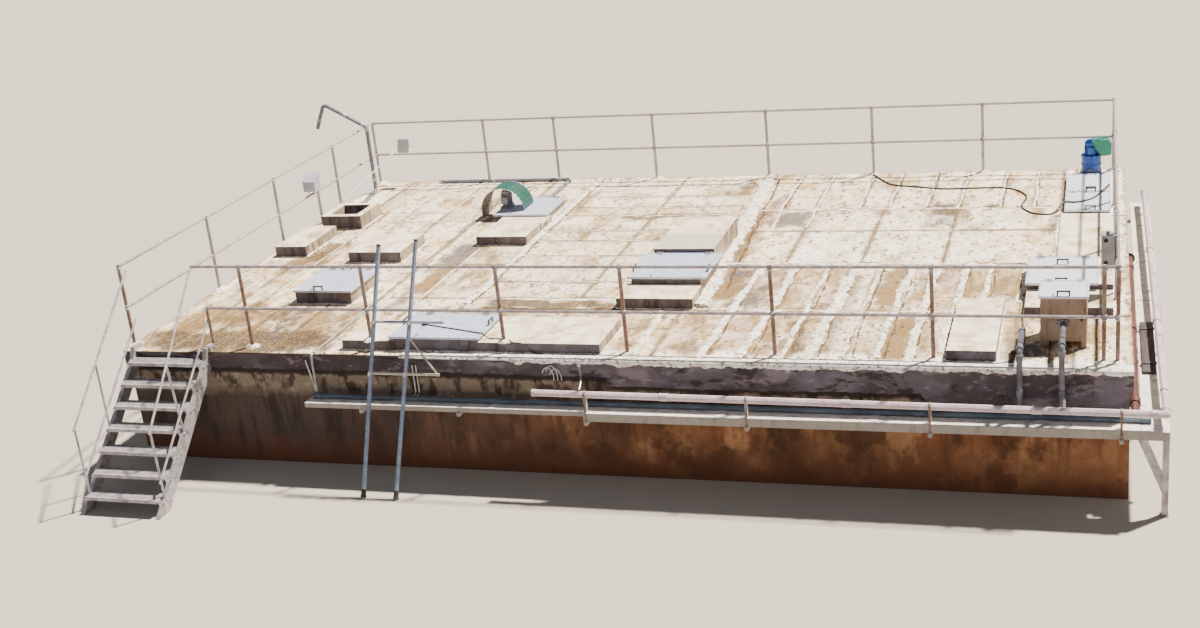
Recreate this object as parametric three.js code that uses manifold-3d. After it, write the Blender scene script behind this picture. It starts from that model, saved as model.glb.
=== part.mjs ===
// Concrete biogas digester tank with roof hatches, railings, access stair and pipework.
// Millimetres, +Z up, ground at Z = 0. While it is modelled, X = 0 and Y = 0 lie on the front
// right corner post, X runs to the right along the front and Y runs away to the back.
// The finished group is then moved so that its origin is the middle of its base.

import * as THREE from "three";
import { mergeVertices } from "three/addons/utils/BufferGeometryUtils.js";
import Module from "manifold-3d";

const wasm = await Module();
wasm.setup();

// Tank
const ROOF_TOP = 1400;
const ROOF_THICKNESS = 220;
const ROOF_UNDERSIDE = ROOF_TOP - ROOF_THICKNESS;
const TANK_LEFT = -11350;
const TANK_RIGHT = 150;
const TANK_FRONT = -210;
const TANK_BACK = 7160;
const ROOF_OVERHANG = 30;
const WALL_THICKNESS = 250;
const FLOOR_THICKNESS = 200;
const ROOF_JOINT_X = -8800; // the roof is cast in two slabs that meet here

// Railings
const RAIL_HEIGHT = 1000;
const MID_RAIL_HEIGHT = 482;
const RAIL_RADIUS = 17;
const POST_RADIUS = 22;
const FRONT_LINE = 0; // Y of the front railing
const BACK_LINE = 7095;
const LEFT_LINE = -11325; // X of the left railing
const RIGHT_LINE = 0;
const FRONT_POSTS = [-9690, -8120, -6480, -5050, -3420, -1780, -130, RIGHT_LINE];
const BACK_POSTS = [LEFT_LINE, -9410, -8230, -6640, -4890, -3330, -1770, RIGHT_LINE];
const LEFT_POSTS = [2000, 3810, 5660];
const RIGHT_POSTS = [1770, 3550, 5320];
const FRONT_RAIL_END = -10330; // the top front rail stops beside the stair
const FRONT_MID_RAIL_END = -10220;

// Stair: it goes down towards the front through the gap in the front railing
const STAIR_RIGHT = -10200;
const STAIR_LEFT = -11200;
const STAIR_TOP_Y = -210;
const STAIR_BRACKET_Y = -60; // the stringers are bolted down on the roof up to here
const STAIR_BRACKET_HEIGHT = 60;
const RISER_HEIGHT = 190;
const TREAD_GOING = 210;
const TREAD_COUNT = 7;
const FIRST_TREAD_DROP = 70;
const TREAD_DEPTH = 200;
const TREAD_THICKNESS = 30;
const STRINGER_DEPTH = 150;
const STRINGER_THICKNESS = 50;
const STAIR_RAIL_RADIUS = 14;
const STAIR_LOW_RAIL_HEIGHT = 200; // above the stringer
const STAIR_POSTS = [-1550, -950];
const STAIR_RAIL_TOP_Y = -45;
const STAIR_RAIL_FOOT_Y = -1580;

const SEAT_GAP = 0.3; // clearance kept between pieces that would otherwise share a curved face
const onRoof = (radius) => radius * Math.cos(Math.PI / 8) + SEAT_GAP; // axis height of a lying pipe

// Basic shapes

function box(x0, x1, y0, y1, z0, z1) {
  const geometry = new THREE.BoxGeometry(x1 - x0, y1 - y0, z1 - z0);
  return geometry.translate((x0 + x1) / 2, (y0 + y1) / 2, (z0 + z1) / 2);
}

// A straight round bar between two points, with two of its flats turned square to the axes.
function rod(from, to, radius, sides = 8) {
  const start = new THREE.Vector3(...from);
  const end = new THREE.Vector3(...to);
  const along = end.clone().sub(start);
  const geometry = new THREE.CylinderGeometry(radius, radius, along.length(), sides);
  geometry.rotateY(Math.PI / sides);
  const turn = new THREE.Quaternion().setFromUnitVectors(
    new THREE.Vector3(0, 1, 0),
    along.normalize(),
  );
  geometry.applyQuaternion(turn);
  return geometry.translate(...start.add(end).multiplyScalar(0.5).toArray());
}

// A flat outline in the X-Z plane, pushed along Y from y0 to y1.
function prismAlongY(outline, y0, y1, curveSegments = 8) {
  const depth = y1 - y0;
  const geometry = new THREE.ExtrudeGeometry(outline, { depth, bevelEnabled: false, curveSegments });
  return geometry.rotateX(Math.PI / 2).translate(0, y1, 0);
}

// A flat outline in the Y-Z plane, pushed along X from x0 to x1.
function prismAlongX(points, x0, x1) {
  const outline = new THREE.Shape(points.map(([y, z]) => new THREE.Vector2(y, z)));
  const geometry = new THREE.ExtrudeGeometry(outline, { depth: x1 - x0, bevelEnabled: false });
  geometry.rotateX(Math.PI / 2).rotateZ(Math.PI / 2);
  return geometry.translate(x0, 0, 0);
}

// Joining and cutting

function solidOf(geometry) {
  const loose = geometry.index ? geometry.toNonIndexed() : geometry.clone();
  loose.deleteAttribute("normal");
  loose.deleteAttribute("uv");
  const merged = mergeVertices(loose, 1e-3);
  return new wasm.Manifold(
    new wasm.Mesh({
      numProp: 3,
      vertProperties: merged.attributes.position.array,
      triVerts: new Uint32Array(merged.index.array),
    }),
  );
}

function geometryOf(solid) {
  const mesh = solid.getMesh();
  const geometry = new THREE.BufferGeometry();
  geometry.setAttribute("position", new THREE.BufferAttribute(mesh.vertProperties, 3));
  geometry.setIndex(new THREE.BufferAttribute(mesh.triVerts, 1));
  geometry.computeVertexNormals();
  return geometry;
}

function fuse(...pieces) {
  return geometryOf(pieces.map(solidOf).reduce((whole, piece) => whole.add(piece)));
}

function cut(body, ...tools) {
  return geometryOf(tools.map(solidOf).reduce((left, tool) => left.subtract(tool), solidOf(body)));
}

// The same route with each corner replaced by a short arc of straight steps.
function roundCorners(points, bendRadius, steps = 4) {
  const route = [points[0]];
  for (let i = 1; i < points.length - 1; i++) {
    const back = points[i - 1].clone().sub(points[i]);
    const ahead = points[i + 1].clone().sub(points[i]);
    const turn = Math.PI - back.angleTo(ahead);
    const setback = bendRadius * Math.tan(turn / 2);
    const reach = Math.min(setback, back.length() * 0.45, ahead.length() * 0.45);
    const from = points[i].clone().add(back.setLength(reach));
    const to = points[i].clone().add(ahead.setLength(reach));
    const corner = new THREE.QuadraticBezierCurve3(from, points[i], to);
    route.push(...corner.getPoints(turn > 0.9 ? steps : 2));
  }
  route.push(points.at(-1));
  return route;
}

// A round pipe swept through a list of points, with a mitre at each step and flats above and below.
function pipe(corners, radius, bendRadius = radius * 2.5, sides = 8) {
  const points = roundCorners(corners.map((corner) => new THREE.Vector3(...corner)), bendRadius);
  const directions = points.slice(1).map((point, i) => point.clone().sub(points[i]).normalize());
  const upright = Math.abs(directions[0].z) > 0.9;
  const reference = upright ? new THREE.Vector3(1, 0, 0) : new THREE.Vector3(0, 0, 1);
  const side = new THREE.Vector3().crossVectors(directions[0], reference).normalize();
  const up = new THREE.Vector3().crossVectors(side, directions[0]);
  const angles = Array.from({ length: sides }, (_, k) => ((k + 0.5) / sides) * 2 * Math.PI);
  let ring = angles.map((angle) =>
    points[0]
      .clone()
      .addScaledVector(side, radius * Math.cos(angle))
      .addScaledVector(up, radius * Math.sin(angle)),
  );
  const vertices = [...ring];
  for (let i = 1; i < points.length; i++) {
    const before = directions[i - 1];
    const normal = before.clone().add(directions[i] ?? before).normalize();
    ring = ring.map((vertex) => {
      const distance = points[i].clone().sub(vertex).dot(normal) / before.dot(normal);
      return vertex.clone().addScaledVector(before, distance);
    });
    vertices.push(...ring);
  }
  const faces = [];
  const last = vertices.length - sides;
  for (let k = 0; k < sides; k++) {
    const next = (k + 1) % sides;
    for (let start = 0; start < last; start += sides) {
      faces.push(start + k, start + sides + next, start + next);
      faces.push(start + k, start + sides + k, start + sides + next);
    }
    if (k > 0 && k < sides - 1) {
      faces.push(0, k, k + 1);
      faces.push(last, last + k + 1, last + k);
    }
  }
  const geometry = new THREE.BufferGeometry().setFromPoints(vertices);
  geometry.setIndex(faces);
  return geometry;
}

// Materials

const finish = (color, roughness, metalness) =>
  new THREE.MeshStandardMaterial({ color, roughness, metalness });

const MATERIALS = {
  roofConcrete: finish(0xe2d3bc, 0.95, 0),
  wallConcrete: finish(0x8f7358, 0.95, 0),
  slabConcrete: finish(0xd9ccb8, 0.95, 0),
  railSteel: finish(0xb9b3a6, 0.45, 0.7),
  rustySteel: finish(0x7a5a45, 0.75, 0.5),
  lidSteel: finish(0xcdd6de, 0.4, 0.8),
  ladderSteel: finish(0x8793a8, 0.5, 0.7),
  trunkingSteel: finish(0xc9cbcd, 0.5, 0.6),
  greenSheet: finish(0x4e9a8c, 0.6, 0.2),
  bluePaint: finish(0x1459b8, 0.45, 0.1),
  greenPlastic: finish(0x2f9e7a, 0.6, 0),
  greyPlastic: finish(0x5f7488, 0.5, 0),
  palePlastic: finish(0xd9d3cc, 0.5, 0),
  redPlastic: finish(0xa85b4a, 0.6, 0),
  blackPlastic: finish(0x23262a, 0.6, 0),
  greyCasing: finish(0x9aa0a6, 0.5, 0.2),
  beigeCasing: finish(0x8c7463, 0.7, 0.1),
};

const digester = new THREE.Group();

function addPiece(name, geometry, material) {
  const mesh = new THREE.Mesh(geometry, MATERIALS[material].clone());
  mesh.name = name;
  digester.add(mesh);
}

// Tank shell: the four walls stand on the ground and the roof slabs lie on them

const wallLeft = TANK_LEFT + ROOF_OVERHANG;
const wallRight = TANK_RIGHT - ROOF_OVERHANG;
const wallFront = TANK_FRONT + ROOF_OVERHANG;
const wallBack = TANK_BACK - ROOF_OVERHANG;
const innerLeft = wallLeft + WALL_THICKNESS;
const innerRight = wallRight - WALL_THICKNESS;
const innerFront = wallFront + WALL_THICKNESS;
const innerBack = wallBack - WALL_THICKNESS;

addPiece("front_wall", box(wallLeft, wallRight, wallFront, innerFront, 0, ROOF_UNDERSIDE), "wallConcrete");
addPiece("back_wall", box(wallLeft, wallRight, innerBack, wallBack, 0, ROOF_UNDERSIDE), "wallConcrete");
addPiece("left_wall", box(wallLeft, innerLeft, innerFront, innerBack, 0, ROOF_UNDERSIDE), "wallConcrete");
addPiece("right_wall", box(innerRight, wallRight, innerFront, innerBack, 0, ROOF_UNDERSIDE), "wallConcrete");
addPiece("tank_floor", box(innerLeft, innerRight, innerFront, innerBack, 0, FLOOR_THICKNESS), "wallConcrete");

// Roof slabs, the left one with the open pit

const PIT_LEFT = -11020;
const PIT_RIGHT = -10580;
const PIT_FRONT = 4720;
const PIT_BACK = 5200;
const PIT_CURB_WIDTH = 100;
const PIT_CURB_HEIGHT = 200;

const pitHole = box(PIT_LEFT, PIT_RIGHT, PIT_FRONT, PIT_BACK, ROOF_UNDERSIDE - 50, ROOF_TOP + 500);
addPiece(
  "roof_left",
  cut(box(TANK_LEFT, ROOF_JOINT_X, TANK_FRONT, TANK_BACK, ROOF_UNDERSIDE, ROOF_TOP), pitHole),
  "roofConcrete",
);
addPiece(
  "roof_right",
  box(ROOF_JOINT_X, TANK_RIGHT, TANK_FRONT, TANK_BACK, ROOF_UNDERSIDE, ROOF_TOP),
  "roofConcrete",
);
addPiece(
  "pit_curb",
  cut(
    box(
      PIT_LEFT - PIT_CURB_WIDTH,
      PIT_RIGHT + PIT_CURB_WIDTH,
      PIT_FRONT - PIT_CURB_WIDTH,
      PIT_BACK + PIT_CURB_WIDTH,
      ROOF_TOP,
      ROOF_TOP + PIT_CURB_HEIGHT,
    ),
    pitHole,
  ),
  "slabConcrete",
);

// Railings: round posts on the roof with a top rail and a middle rail

const postAt = (x, y) => rod([x, y, ROOF_TOP], [x, y, ROOF_TOP + RAIL_HEIGHT + POST_RADIUS], POST_RADIUS);
const postFlat = POST_RADIUS * Math.cos(Math.PI / 8);
const clearOfPost = postFlat + SEAT_GAP;
const topRailZ = ROOF_TOP + RAIL_HEIGHT;
const midRailZ = ROOF_TOP + MID_RAIL_HEIGHT;

const railAlongX = (x0, x1, y, z) => rod([x0, y, z], [x1, y, z], RAIL_RADIUS);
const railAlongY = (x, y0, y1, z) => rod([x, y0, z], [x, y1, z], RAIL_RADIUS);

addPiece(
  "front_railing",
  fuse(
    ...FRONT_POSTS.map((x) => postAt(x, FRONT_LINE)),
    railAlongX(FRONT_RAIL_END, RIGHT_LINE, FRONT_LINE, topRailZ),
    railAlongX(FRONT_MID_RAIL_END, RIGHT_LINE, FRONT_LINE, midRailZ),
    rod(
      [FRONT_MID_RAIL_END, FRONT_LINE, ROOF_TOP],
      [FRONT_MID_RAIL_END, FRONT_LINE, midRailZ + RAIL_RADIUS],
      RAIL_RADIUS,
    ),
  ),
  "rustySteel",
);
addPiece(
  "back_railing",
  fuse(
    ...BACK_POSTS.map((x) => postAt(x, BACK_LINE)),
    railAlongX(LEFT_LINE, RIGHT_LINE, BACK_LINE, topRailZ),
    railAlongX(LEFT_LINE, RIGHT_LINE, BACK_LINE, midRailZ),
  ),
  "railSteel",
);
addPiece(
  "left_railing",
  fuse(
    postAt(LEFT_LINE, FRONT_LINE),
    ...LEFT_POSTS.map((y) => postAt(LEFT_LINE, y)),
    railAlongY(LEFT_LINE, FRONT_LINE, BACK_LINE - clearOfPost, topRailZ),
    railAlongY(LEFT_LINE, FRONT_LINE, BACK_LINE - clearOfPost, midRailZ),
  ),
  "railSteel",
);
addPiece(
  "right_railing",
  fuse(
    ...RIGHT_POSTS.map((y) => postAt(RIGHT_LINE, y)),
    railAlongY(RIGHT_LINE, FRONT_LINE + clearOfPost, BACK_LINE - clearOfPost, topRailZ),
    railAlongY(RIGHT_LINE, FRONT_LINE + clearOfPost, BACK_LINE - clearOfPost, midRailZ),
  ),
  "railSteel",
);

// Stair: each side is a sloping stringer with a handrail, a middle rail and a foot post

const stairSlope = RISER_HEIGHT / TREAD_GOING;
const stairLineZ = (y) => ROOF_TOP + (y - STAIR_TOP_Y) * stairSlope;
const stairFootY = STAIR_TOP_Y - ROOF_TOP / stairSlope;
const stringerHeight = STRINGER_DEPTH * Math.hypot(1, stairSlope);
const handrailHeight = topRailZ - stairLineZ(FRONT_LINE);

// The handrail may lean sideways on its way up, to meet the end of the front railing.
function stairSide(x, handrailTopX) {
  const faceY = STAIR_TOP_Y - SEAT_GAP;
  const stringer = prismAlongX(
    [
      [STAIR_BRACKET_Y, ROOF_TOP],
      [STAIR_BRACKET_Y, ROOF_TOP + STAIR_BRACKET_HEIGHT],
      [STAIR_TOP_Y - 20, ROOF_TOP + STAIR_BRACKET_HEIGHT],
      [STAIR_TOP_Y - 80, stairLineZ(STAIR_TOP_Y - 80)],
      [stairFootY, 0],
      [STAIR_TOP_Y - (ROOF_TOP - stringerHeight) / stairSlope, 0],
      [faceY, stairLineZ(faceY) - stringerHeight],
      [faceY, ROOF_TOP],
    ],
    x - STRINGER_THICKNESS / 2,
    x + STRINGER_THICKNESS / 2,
  );
  const railLength = STAIR_RAIL_TOP_Y - STAIR_RAIL_FOOT_Y;
  const handrailX = (y) => x + ((handrailTopX - x) * (y - STAIR_RAIL_FOOT_Y)) / railLength;
  const onHandrail = (y) => [handrailX(y), y, stairLineZ(y) + handrailHeight];
  const onLowRail = (y) => [x, y, stairLineZ(y) + STAIR_LOW_RAIL_HEIGHT];
  const posts = STAIR_POSTS.map((y) =>
    rod([x, y, stairLineZ(y) - stringerHeight / 2], onHandrail(y), STAIR_RAIL_RADIUS),
  );
  return fuse(
    stringer,
    ...posts,
    rod(onHandrail(STAIR_RAIL_FOOT_Y), onHandrail(STAIR_RAIL_TOP_Y), STAIR_RAIL_RADIUS),
    rod(onLowRail(STAIR_RAIL_FOOT_Y), onLowRail(STAIR_RAIL_TOP_Y), STAIR_RAIL_RADIUS),
  );
}

addPiece("stair_right_side", stairSide(STAIR_RIGHT, FRONT_RAIL_END + 10), "ladderSteel");
addPiece("stair_left_side", stairSide(STAIR_LEFT, STAIR_LEFT), "ladderSteel");

for (let step = 0; step < TREAD_COUNT; step++) {
  const top = ROOF_TOP - FIRST_TREAD_DROP - step * RISER_HEIGHT;
  const back = STAIR_TOP_Y - 5 - step * TREAD_GOING;
  const inset = STRINGER_THICKNESS / 2 + SEAT_GAP;
  addPiece(
    `stair_tread_${step + 1}`,
    box(STAIR_LEFT + inset, STAIR_RIGHT - inset, back - TREAD_DEPTH, back, top - TREAD_THICKNESS, top),
    "ladderSteel",
  );
}

// Leaning ladder: two poles on the ground that rest on the front top rail, with two long rungs

const LADDER_RADIUS = 24;
const LADDER_FOOT_Y = -1000;
const LADDER_LEFT_FOOT_X = -8000;
const LADDER_LEFT_REST_X = -7880;
const LADDER_RIGHT_FOOT_X = -7600;
const LADDER_RIGHT_REST_X = -7430;
const LADDER_RUNG_HEIGHTS = [1840, 1305];

const ladderStandoff = RAIL_RADIUS + LADDER_RADIUS * Math.cos(Math.PI / 8) + 2 * SEAT_GAP;
const ladderReach = Math.hypot(LADDER_FOOT_Y, topRailZ);
const ladderLean = Math.atan2(topRailZ, -LADDER_FOOT_Y) + Math.asin(ladderStandoff / ladderReach);
const ladderRestY = LADDER_FOOT_Y + topRailZ / Math.tan(ladderLean);
const ladderPoint = (footX, restX, height) => {
  const share = height / topRailZ;
  return [
    footX + (restX - footX) * share,
    LADDER_FOOT_Y + (ladderRestY - LADDER_FOOT_Y) * share,
    height,
  ];
};
const ladderLeft = (height) => ladderPoint(LADDER_LEFT_FOOT_X, LADDER_LEFT_REST_X, height);
const ladderRight = (height) => ladderPoint(LADDER_RIGHT_FOOT_X, LADDER_RIGHT_REST_X, height);

function rung(height, leftOver, rightOver, radius) {
  const left = ladderLeft(height);
  const right = ladderRight(height);
  left[0] -= leftOver;
  right[0] += rightOver;
  return rod(left, right, radius);
}

const ladderBraceEnd = ladderRight(LADDER_RUNG_HEIGHTS[1]);
ladderBraceEnd[0] += 390;
addPiece(
  "leaning_ladder",
  cut(
    fuse(
      rod(ladderLeft(-60), ladderLeft(2650), LADDER_RADIUS),
      rod(ladderRight(-60), ladderRight(2700), LADDER_RADIUS),
      ...LADDER_RUNG_HEIGHTS.map((height) => rung(height, 30, 410, 16)),
      rod(ladderRight(1690), ladderBraceEnd, 9, 6),
    ),
    box(-9000, -6000, -2000, 0, -200, 0),
  ),
  "ladderSteel",
);

// Hatch lids: a flat steel plate with two bent handles

const LID_THICKNESS = 20;
const HANDLE_WIDTH = 130;
const HANDLE_HEIGHT = 60;
const HANDLE_BAR = 14;
const HANDLE_INSET = 25; // from the lid's edge to the handle's middle

function handle(x, y, z, turn) {
  const half = HANDLE_WIDTH / 2;
  const bar = HANDLE_BAR / 2;
  return [
    box(-half, -half + HANDLE_BAR, -bar, bar, z - 5, z + HANDLE_HEIGHT),
    box(half - HANDLE_BAR, half, -bar, bar, z - 5, z + HANDLE_HEIGHT),
    box(-half, half, -bar, bar, z + HANDLE_HEIGHT - HANDLE_BAR, z + HANDLE_HEIGHT),
  ].map((bent) => bent.rotateZ(turn).translate(x, y, 0));
}

const lidPlate = (x0, x1, y0, y1, top) => box(x0, x1, y0, y1, top - LID_THICKNESS, top);

// A lid with a handle near its front edge and one near its back edge.
function lidFrontBack(x0, x1, y0, y1, top, handleX = (x0 + x1) / 2, backInset = HANDLE_INSET) {
  return fuse(
    lidPlate(x0, x1, y0, y1, top),
    ...handle(handleX, y0 + HANDLE_INSET, top, 0),
    ...handle(handleX, y1 - backInset, top, 0),
  );
}

// A lid with a handle near each of its two ends.
function lidEnds(x0, x1, y0, y1, top, handleY) {
  return fuse(
    lidPlate(x0, x1, y0, y1, top),
    ...handle(x0 + HANDLE_INSET, handleY, top, Math.PI / 2),
    ...handle(x1 - HANDLE_INSET, handleY, top, Math.PI / 2),
  );
}

// Left hatch and the two raised slabs near it

const LEFT_LID_TOP = ROOF_TOP + 180;
addPiece(
  "left_hatch_curb",
  box(-9880, -9100, 1460, 2290, ROOF_TOP, LEFT_LID_TOP - LID_THICKNESS),
  "slabConcrete",
);
addPiece("left_hatch_lid", lidFrontBack(-9900, -9080, 1440, 2310, LEFT_LID_TOP, -9545), "lidSteel");
addPiece("raised_slab", box(-9930, -9150, 3080, 3900, ROOF_TOP, ROOF_TOP + 150), "slabConcrete");
addPiece("edge_slab", box(-11200, -10720, 3340, 4300, ROOF_TOP, ROOF_TOP + 150), "slabConcrete");

// Vent riser: a pipe from the pit along the roof edge, up and over the railing

const VENT_RADIUS = 30;
const VENT_Y = 6600;
const VENT_LOW_Z = ROOF_TOP + VENT_RADIUS;
addPiece(
  "vent_riser",
  pipe(
    [
      [-11060, PIT_BACK + PIT_CURB_WIDTH + SEAT_GAP, VENT_LOW_Z],
      [-11060, 5900, VENT_LOW_Z],
      [-11180, VENT_Y, VENT_LOW_Z],
      [-11180, VENT_Y, ROOF_TOP + 1060],
      [-11870, VENT_Y, ROOF_TOP + 1450],
      [-12040, VENT_Y, ROOF_TOP + 1060],
    ],
    VENT_RADIUS,
  ),
  "greyPlastic",
);

// Junction box with a sloping hood, on its own post at the left edge

const JUNCTION_X = -11262;
const JUNCTION_Y = 4900;
const JUNCTION_BOX_Z = ROOF_TOP + 550;
const JUNCTION_BOX_FRONT = 4710;
const JUNCTION_BOX_BACK = 4890;
addPiece(
  "junction_box",
  fuse(
    rod([JUNCTION_X, JUNCTION_Y, ROOF_TOP], [JUNCTION_X, JUNCTION_Y, JUNCTION_BOX_Z + 120], 24),
    prismAlongX(
      [
        [JUNCTION_BOX_FRONT, JUNCTION_BOX_Z],
        [JUNCTION_BOX_BACK, JUNCTION_BOX_Z],
        [JUNCTION_BOX_BACK, JUNCTION_BOX_Z + 240],
        [JUNCTION_BOX_FRONT, JUNCTION_BOX_Z + 160],
      ],
      JUNCTION_X - 123,
      JUNCTION_X + 67,
    ),
  ),
  "palePlastic",
);

// Floodlight held near the back railing by a long stay that rests on the pit's curb

const LAMP_X = -10880;
const LAMP_Y = BACK_LINE - 90;
const STAY_X = -11045;
const STAY_Y = 5240;
const STAY_RADIUS = 11;
const PIT_CURB_TOP = ROOF_TOP + PIT_CURB_HEIGHT;
addPiece(
  "floodlight",
  fuse(
    prismAlongX(
      [
        [LAMP_Y - 60, ROOF_TOP + 540],
        [LAMP_Y + 60, ROOF_TOP + 580],
        [LAMP_Y + 40, ROOF_TOP + 740],
        [LAMP_Y + 10, ROOF_TOP + 750],
      ],
      LAMP_X,
      LAMP_X + 200,
    ),
    rod([LAMP_X + 20, LAMP_Y, ROOF_TOP + 620], [STAY_X, STAY_Y, PIT_CURB_TOP + 60], STAY_RADIUS, 6),
    rod([STAY_X, STAY_Y, PIT_CURB_TOP], [STAY_X, STAY_Y, PIT_CURB_TOP + 70], STAY_RADIUS, 6),
    box(LAMP_X + 90, LAMP_X + 110, LAMP_Y, BACK_LINE - postFlat - SEAT_GAP, topRailZ - 400, topRailZ - 380),
  ),
  "palePlastic",
);

// Mixer hatch: concrete plinth with a step, steel lid, motor and its arched rain cover

const MIXER_LID_TOP = ROOF_TOP + 120;
const MIXER_LEFT = -8480;
const MIXER_RIGHT = -7650;
addPiece(
  "mixer_plinth",
  fuse(
    box(MIXER_LEFT + 30, MIXER_RIGHT - 20, 4890, 5700, ROOF_TOP, MIXER_LID_TOP - LID_THICKNESS),
    box(-8330, -7600, 3800, 4890, ROOF_TOP, ROOF_TOP + 90),
    box(-8330, -7600, 3800, 4450, ROOF_TOP, ROOF_TOP + 130),
  ),
  "slabConcrete",
);
addPiece("mixer_lid", box(MIXER_LEFT, MIXER_RIGHT, 4850, 5730, MIXER_LID_TOP - LID_THICKNESS, MIXER_LID_TOP), "lidSteel");

const COVER_RADIUS = 336;
const COVER_SHEET = 8;
const COVER_X = -8405;
const COVER_FRONT = 5060;
const COVER_BACK = 5470;

// The motor stands under the cover, its flange flush with the lid's left edge.
const MOTOR_Y = 5270;
const MOTOR_FLANGE = COVER_X - MIXER_LEFT;
addPiece(
  "mixer_motor",
  fuse(
    box(
      COVER_X - MOTOR_FLANGE,
      COVER_X + MOTOR_FLANGE,
      MOTOR_Y - 100,
      MOTOR_Y + 100,
      MIXER_LID_TOP,
      MIXER_LID_TOP + 25,
    ),
    rod([COVER_X, MOTOR_Y, MIXER_LID_TOP + 20], [COVER_X, MOTOR_Y, MIXER_LID_TOP + 240], 70, 16),
    rod([COVER_X, MOTOR_Y, MIXER_LID_TOP + 235], [COVER_X, MOTOR_Y, MIXER_LID_TOP + 275], 52, 16),
  ),
  "greyCasing",
);

// Half-round sheet: its right edge rests on the lid, its left edge runs on down to the roof.
function rainCover() {
  const inner = COVER_RADIUS - COVER_SHEET;
  const left = COVER_X - COVER_RADIUS;
  const outline = new THREE.Shape();
  outline.moveTo(left, ROOF_TOP);
  outline.lineTo(left + COVER_SHEET, ROOF_TOP);
  outline.lineTo(left + COVER_SHEET, MIXER_LID_TOP);
  outline.absarc(COVER_X, MIXER_LID_TOP, inner, Math.PI, 0, true);
  outline.lineTo(COVER_X + COVER_RADIUS, MIXER_LID_TOP);
  outline.absarc(COVER_X, MIXER_LID_TOP, COVER_RADIUS, 0, Math.PI, false);
  return prismAlongY(outline, COVER_FRONT, COVER_BACK, 14);
}
addPiece("rain_cover", rainCover(), "greenSheet");

// Pipe on the roof's back edge with a branch that runs to the mixer hatch

const EDGE_PIPE_RADIUS = 28;
const EDGE_PIPE_Y = BACK_LINE - POST_RADIUS - EDGE_PIPE_RADIUS - 10;
const EDGE_PIPE_Z = ROOF_TOP + onRoof(EDGE_PIPE_RADIUS);
const BRANCH_X = -8020;
addPiece(
  "roof_edge_pipe",
  pipe(
    [
      [-10250, EDGE_PIPE_Y, EDGE_PIPE_Z],
      [BRANCH_X, EDGE_PIPE_Y, EDGE_PIPE_Z],
      [BRANCH_X, 5730 + SEAT_GAP, EDGE_PIPE_Z],
    ],
    EDGE_PIPE_RADIUS,
  ),
  "greyPlastic",
);

// Middle hatch: a stepped concrete platform and its steel lid

const MIDDLE_LID_TOP = ROOF_TOP + 220;
addPiece(
  "middle_platform",
  fuse(
    box(-5590, -4660, 1390, 1910, ROOF_TOP, ROOF_TOP + 130),
    box(-5540, -4680, 1900, 2830, ROOF_TOP, MIDDLE_LID_TOP - LID_THICKNESS),
    box(-5500, -4720, 2820, 4150, ROOF_TOP, ROOF_TOP + 270),
  ),
  "slabConcrete",
);
addPiece("middle_lid", lidEnds(-5590, -4610, 1880, 2810, MIDDLE_LID_TOP, 2160), "lidSteel");

// Front hatch: a row of concrete blocks along the front edge and a steel lid

const FRONT_LID_TOP = ROOF_TOP + 170;
const FRONT_BLOCK_Y = -40;
const FRONT_SLAB_TOP = ROOF_TOP + 120;
const postHole = (x) => {
  const half = POST_RADIUS + SEAT_GAP;
  return box(x - half, x + half, FRONT_LINE - half, FRONT_LINE + half, ROOF_TOP - 50, ROOF_TOP + 500);
};
addPiece(
  "front_platform",
  cut(
    fuse(
      box(-8480, -7820, FRONT_BLOCK_Y, 620, ROOF_TOP, FRONT_SLAB_TOP),
      box(-7830, -6800, FRONT_BLOCK_Y + 10, 705, ROOF_TOP, FRONT_LID_TOP - LID_THICKNESS),
      box(-6810, -5350, FRONT_BLOCK_Y, 780, ROOF_TOP, FRONT_SLAB_TOP),
    ),
    postHole(FRONT_POSTS[1]),
    postHole(FRONT_POSTS[2]),
  ),
  "slabConcrete",
);
addPiece("front_lid", lidEnds(-7880, -6770, -48, 735, FRONT_LID_TOP, 420), "lidSteel");

// Right side: back hatch with two lids, blower, control box, big hatch, dosing cabinet

const BACK_LID_TOP = ROOF_TOP + 75;
const BACK_HANDLE_X = -290;
addPiece(
  "back_hatch_curb",
  fuse(
    box(-570, -60, 4940, 6600, ROOF_TOP, BACK_LID_TOP - LID_THICKNESS),
    box(-650, -40, 2850, 4950, ROOF_TOP, ROOF_TOP + 40),
  ),
  "slabConcrete",
);
addPiece("back_hatch_lid_1", lidFrontBack(-610, -40, 4920, 5780, BACK_LID_TOP, BACK_HANDLE_X), "lidSteel");
addPiece("back_hatch_lid_2", lidFrontBack(-610, -40, 5790, 6640, BACK_LID_TOP, BACK_HANDLE_X), "lidSteel");

const BLOWER_X = -294;
const BLOWER_Y = 6930;
const BLOWER_HOOD = [
  [BLOWER_X, ROOF_TOP + 490],
  [BLOWER_X + 60, ROOF_TOP + 364],
  [BLOWER_X + 145, ROOF_TOP + 266],
  [BLOWER_X + 264, ROOF_TOP + 284],
  [BLOWER_X + 264, ROOF_TOP + 440],
  [BLOWER_X + 226, ROOF_TOP + 500],
];
addPiece(
  "blower",
  fuse(
    box(BLOWER_X - 140, BLOWER_X + 140, BLOWER_Y - 130, BLOWER_Y + 130, ROOF_TOP, ROOF_TOP + 30),
    rod([BLOWER_X, BLOWER_Y, ROOF_TOP + 25], [BLOWER_X, BLOWER_Y, ROOF_TOP + 280], 140, 16),
    rod([BLOWER_X, BLOWER_Y, ROOF_TOP + 275], [BLOWER_X, BLOWER_Y, ROOF_TOP + 495], 92, 16),
    prismAlongY(
      new THREE.Shape(BLOWER_HOOD.map(([x, z]) => new THREE.Vector2(x, z))),
      BLOWER_Y - 90,
      BLOWER_Y + 90,
    ),
  ),
  "bluePaint",
);

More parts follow.
